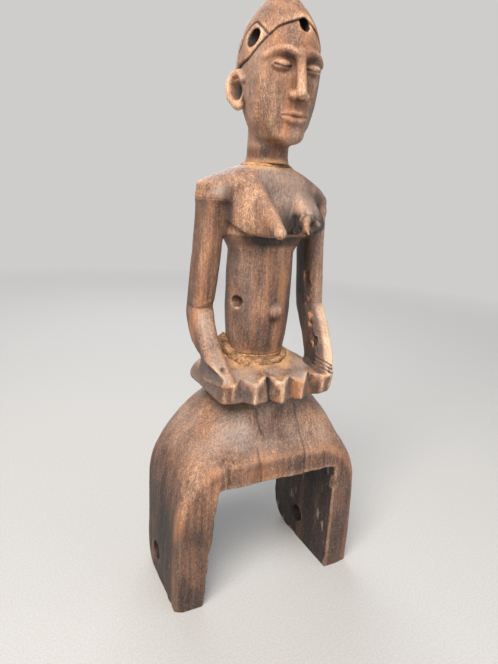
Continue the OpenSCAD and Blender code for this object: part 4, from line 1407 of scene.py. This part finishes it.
# Filler rings

HEAP = ((-11.6, 8.0, 93.6), (-12.0, 4.0, 91.6), (-11.0, -1.0, 89.6), (-8.0, -5.0, 87.6))


def make_filler(name, low, high, seed, sink=0.0, heap=()):
    """Low crumbly mound of filler in a seam, half buried in its neighbours, and a heap that spills out."""
    half_w, half_d, half_h = (high - low) / 2
    g = grid_round(low, high, FILLER_STEP, 2.0 + 2.5 * sink)
    ring = (np.hypot(g.x / half_w, (g.y - BODY_Y) / half_d) - 1) * half_d
    over = g.z - (low[2] + high[2]) / 2
    level = over + sink * ease(2, -6, g.y)
    mound = np.hypot(0.6 * (ring + 0.9), level + 0.5 * (ring + 0.9)) - 0.55
    mound = mound + 0.40 * noise(g, (6.0, 6.0, 4.0), seed) + 0.25 * noise(g, (1.6, 1.6, 1.4), seed + 1)
    form = join(mound, np.maximum(ring + 1.0 + 0.4 * sink, np.abs(over) - half_h), 0.3)
    if heap:
        lumps = 0.45 * noise(g, (1.8, 1.8, 1.5), seed + 2) + 0.25 * noise(g, (0.8, 0.8, 0.7), seed + 3)
        form = join(form, chain(g, heap, 2.0) + lumps, 0.5)
    carve(name, "filler", g, form, paint_filler)


def paint_filler(p):
    p.dark += 0.8 * np.clip(p.noise((2.5, 2.5, 2), 81) - 0.2, 0, 1)


# Camera, light and floor

CAMERA_PLACE = (-92.2, -164.5, 149.9)
CAMERA_YAW, CAMERA_PITCH, CAMERA_ROLL = 28.0, 15.6, 3.8
FOCAL_PIXELS = 523.5
PICTURE_H = 664
SENSOR, CLIP_START = 36.0, 10 * MM


def make_camera():
    yaw, pitch, roll = (math.radians(a) for a in (CAMERA_YAW, CAMERA_PITCH, CAMERA_ROLL))
    ahead = Vector((math.sin(yaw) * math.cos(pitch), math.cos(yaw) * math.cos(pitch), -math.sin(pitch)))
    right = ahead.cross(Vector((0, 0, 1))).normalized()
    up = right.cross(ahead)
    side = math.cos(roll) * right + math.sin(roll) * up
    top = math.cos(roll) * up - math.sin(roll) * right
    data = bpy.data.cameras.new("camera")
    data.sensor_width = SENSOR
    data.lens = FOCAL_PIXELS / PICTURE_H * SENSOR
    data.clip_start = CLIP_START
    camera = put("camera", data)
    turn = Matrix((side, top, -ahead)).transposed().to_4x4()
    camera.matrix_world = Matrix.Translation(Vector(CAMERA_PLACE) * MM) @ turn
    bpy.context.scene.camera = camera


LAMPS = (
    ("key", (-330, -320, 620), 420, 8.2, (1.0, 0.95, 0.88)),
    ("fill", (420, -380, 260), 500, 0.8, (0.90, 0.95, 1.0)),
    ("rear", (120, 480, 420), 420, 2.4, (0.92, 0.96, 1.0)))
LAMP_AIM = Vector((0, 0, 100 * MM))
BACKDROP = linear(206, 205, 203)
SKY, SKY_STRENGTH = (0.86, 0.90, 0.96, 1), 0.42
CLOTH_STOPS = ((0.3, linear(172, 170, 168)), (0.7, linear(188, 186, 184)))


def make_lights():
    for name, place, size, power, colour in LAMPS:
        data = bpy.data.lights.new(name, "AREA")
        data.size = size * MM
        data.energy = power
        data.color = colour
        lamp = put(name, data)
        lamp.location = Vector(place) * MM
        lamp.rotation_euler = (LAMP_AIM - lamp.location).to_track_quat("-Z", "Y").to_euler()
    world = bpy.data.worlds.new("studio")
    s = Shader(world)
    s.fill("Background", {"Color": SKY, "Strength": SKY_STRENGTH})
    pale = s.add("ShaderNodeBackground", {"Color": BACKDROP})[0]
    sky = s.tree.nodes["Background"].outputs[0]
    mixed = s.add("ShaderNodeMixShader", {0: s.seen(), 1: sky, 2: pale})[0]
    s.fill("World Output", {"Surface": mixed})
    bpy.context.scene.world = world


FLOOR_REACH, SWEEP_START, SWEEP_R, SWEEP_STEPS, WALL_H = 2400.0, 900.0, 300.0, 16, 2400.0
PALE_SPAN = (0.15, 0.75)


def make_floor():
    """Pale floor that sweeps up behind the figure."""
    profile = [(-FLOOR_REACH, 0.0)]
    for turn in np.linspace(0, math.pi / 2, SWEEP_STEPS + 1):
        profile.append((SWEEP_START + SWEEP_R * math.sin(turn), SWEEP_R * (1 - math.cos(turn))))
    profile.append((SWEEP_START + SWEEP_R, WALL_H))
    points = [(side * FLOOR_REACH * MM, y * MM, z * MM) for y, z in profile for side in SIDES]
    faces = [(2 * i, 2 * i + 1, 2 * i + 3, 2 * i + 2) for i in range(len(profile) - 1)]
    mesh = bpy.data.meshes.new("floor")
    mesh.from_pydata(points, [], faces)
    mesh.shade_smooth()
    floor = put("floor", mesh)
    s = shader("pale_floor")
    cloth = s.ramp(s.noise(*CLOTH), CLOTH_STOPS)
    s.fill("Principled BSDF", {"Base Color": cloth, "Roughness": 0.95})
    far = s.add("ShaderNodeVectorMath", {0: s.place()}, operation="LENGTH")["Value"]
    share = s.math("MULTIPLY", s.span(far, *PALE_SPAN), s.seen())
    pale = s.add("ShaderNodeEmission", {"Color": BACKDROP})[0]
    near = s.tree.nodes["Principled BSDF"].outputs[0]
    mixed = s.add("ShaderNodeMixShader", {0: share, 1: near, 2: pale})[0]
    s.fill("Material Output", {"Surface": mixed})
    mesh.materials.append(s.owner)


make_camera()
make_lights()
make_floor()
make_stirrup()
make_plate()
make_torso()
make_arm(-1, "right")
make_arm(1, "left")
make_head()
make_filler("waist_filler", WAIST_LOW, WAIST_HIGH, 91, FRONT_SINK, HEAP)
make_filler("neck_filler", NECK_LOW, NECK_HIGH, 95)
for node in ("spine_peg", "neck_peg", "shoulder_pegs", "elbow_pegs"):
    slots = frame["nodes"][node].data.materials
    slots.clear()
    slots.append(materials["peg_wood"])

bpy.context.scene.view_settings.view_transform = "Standard"
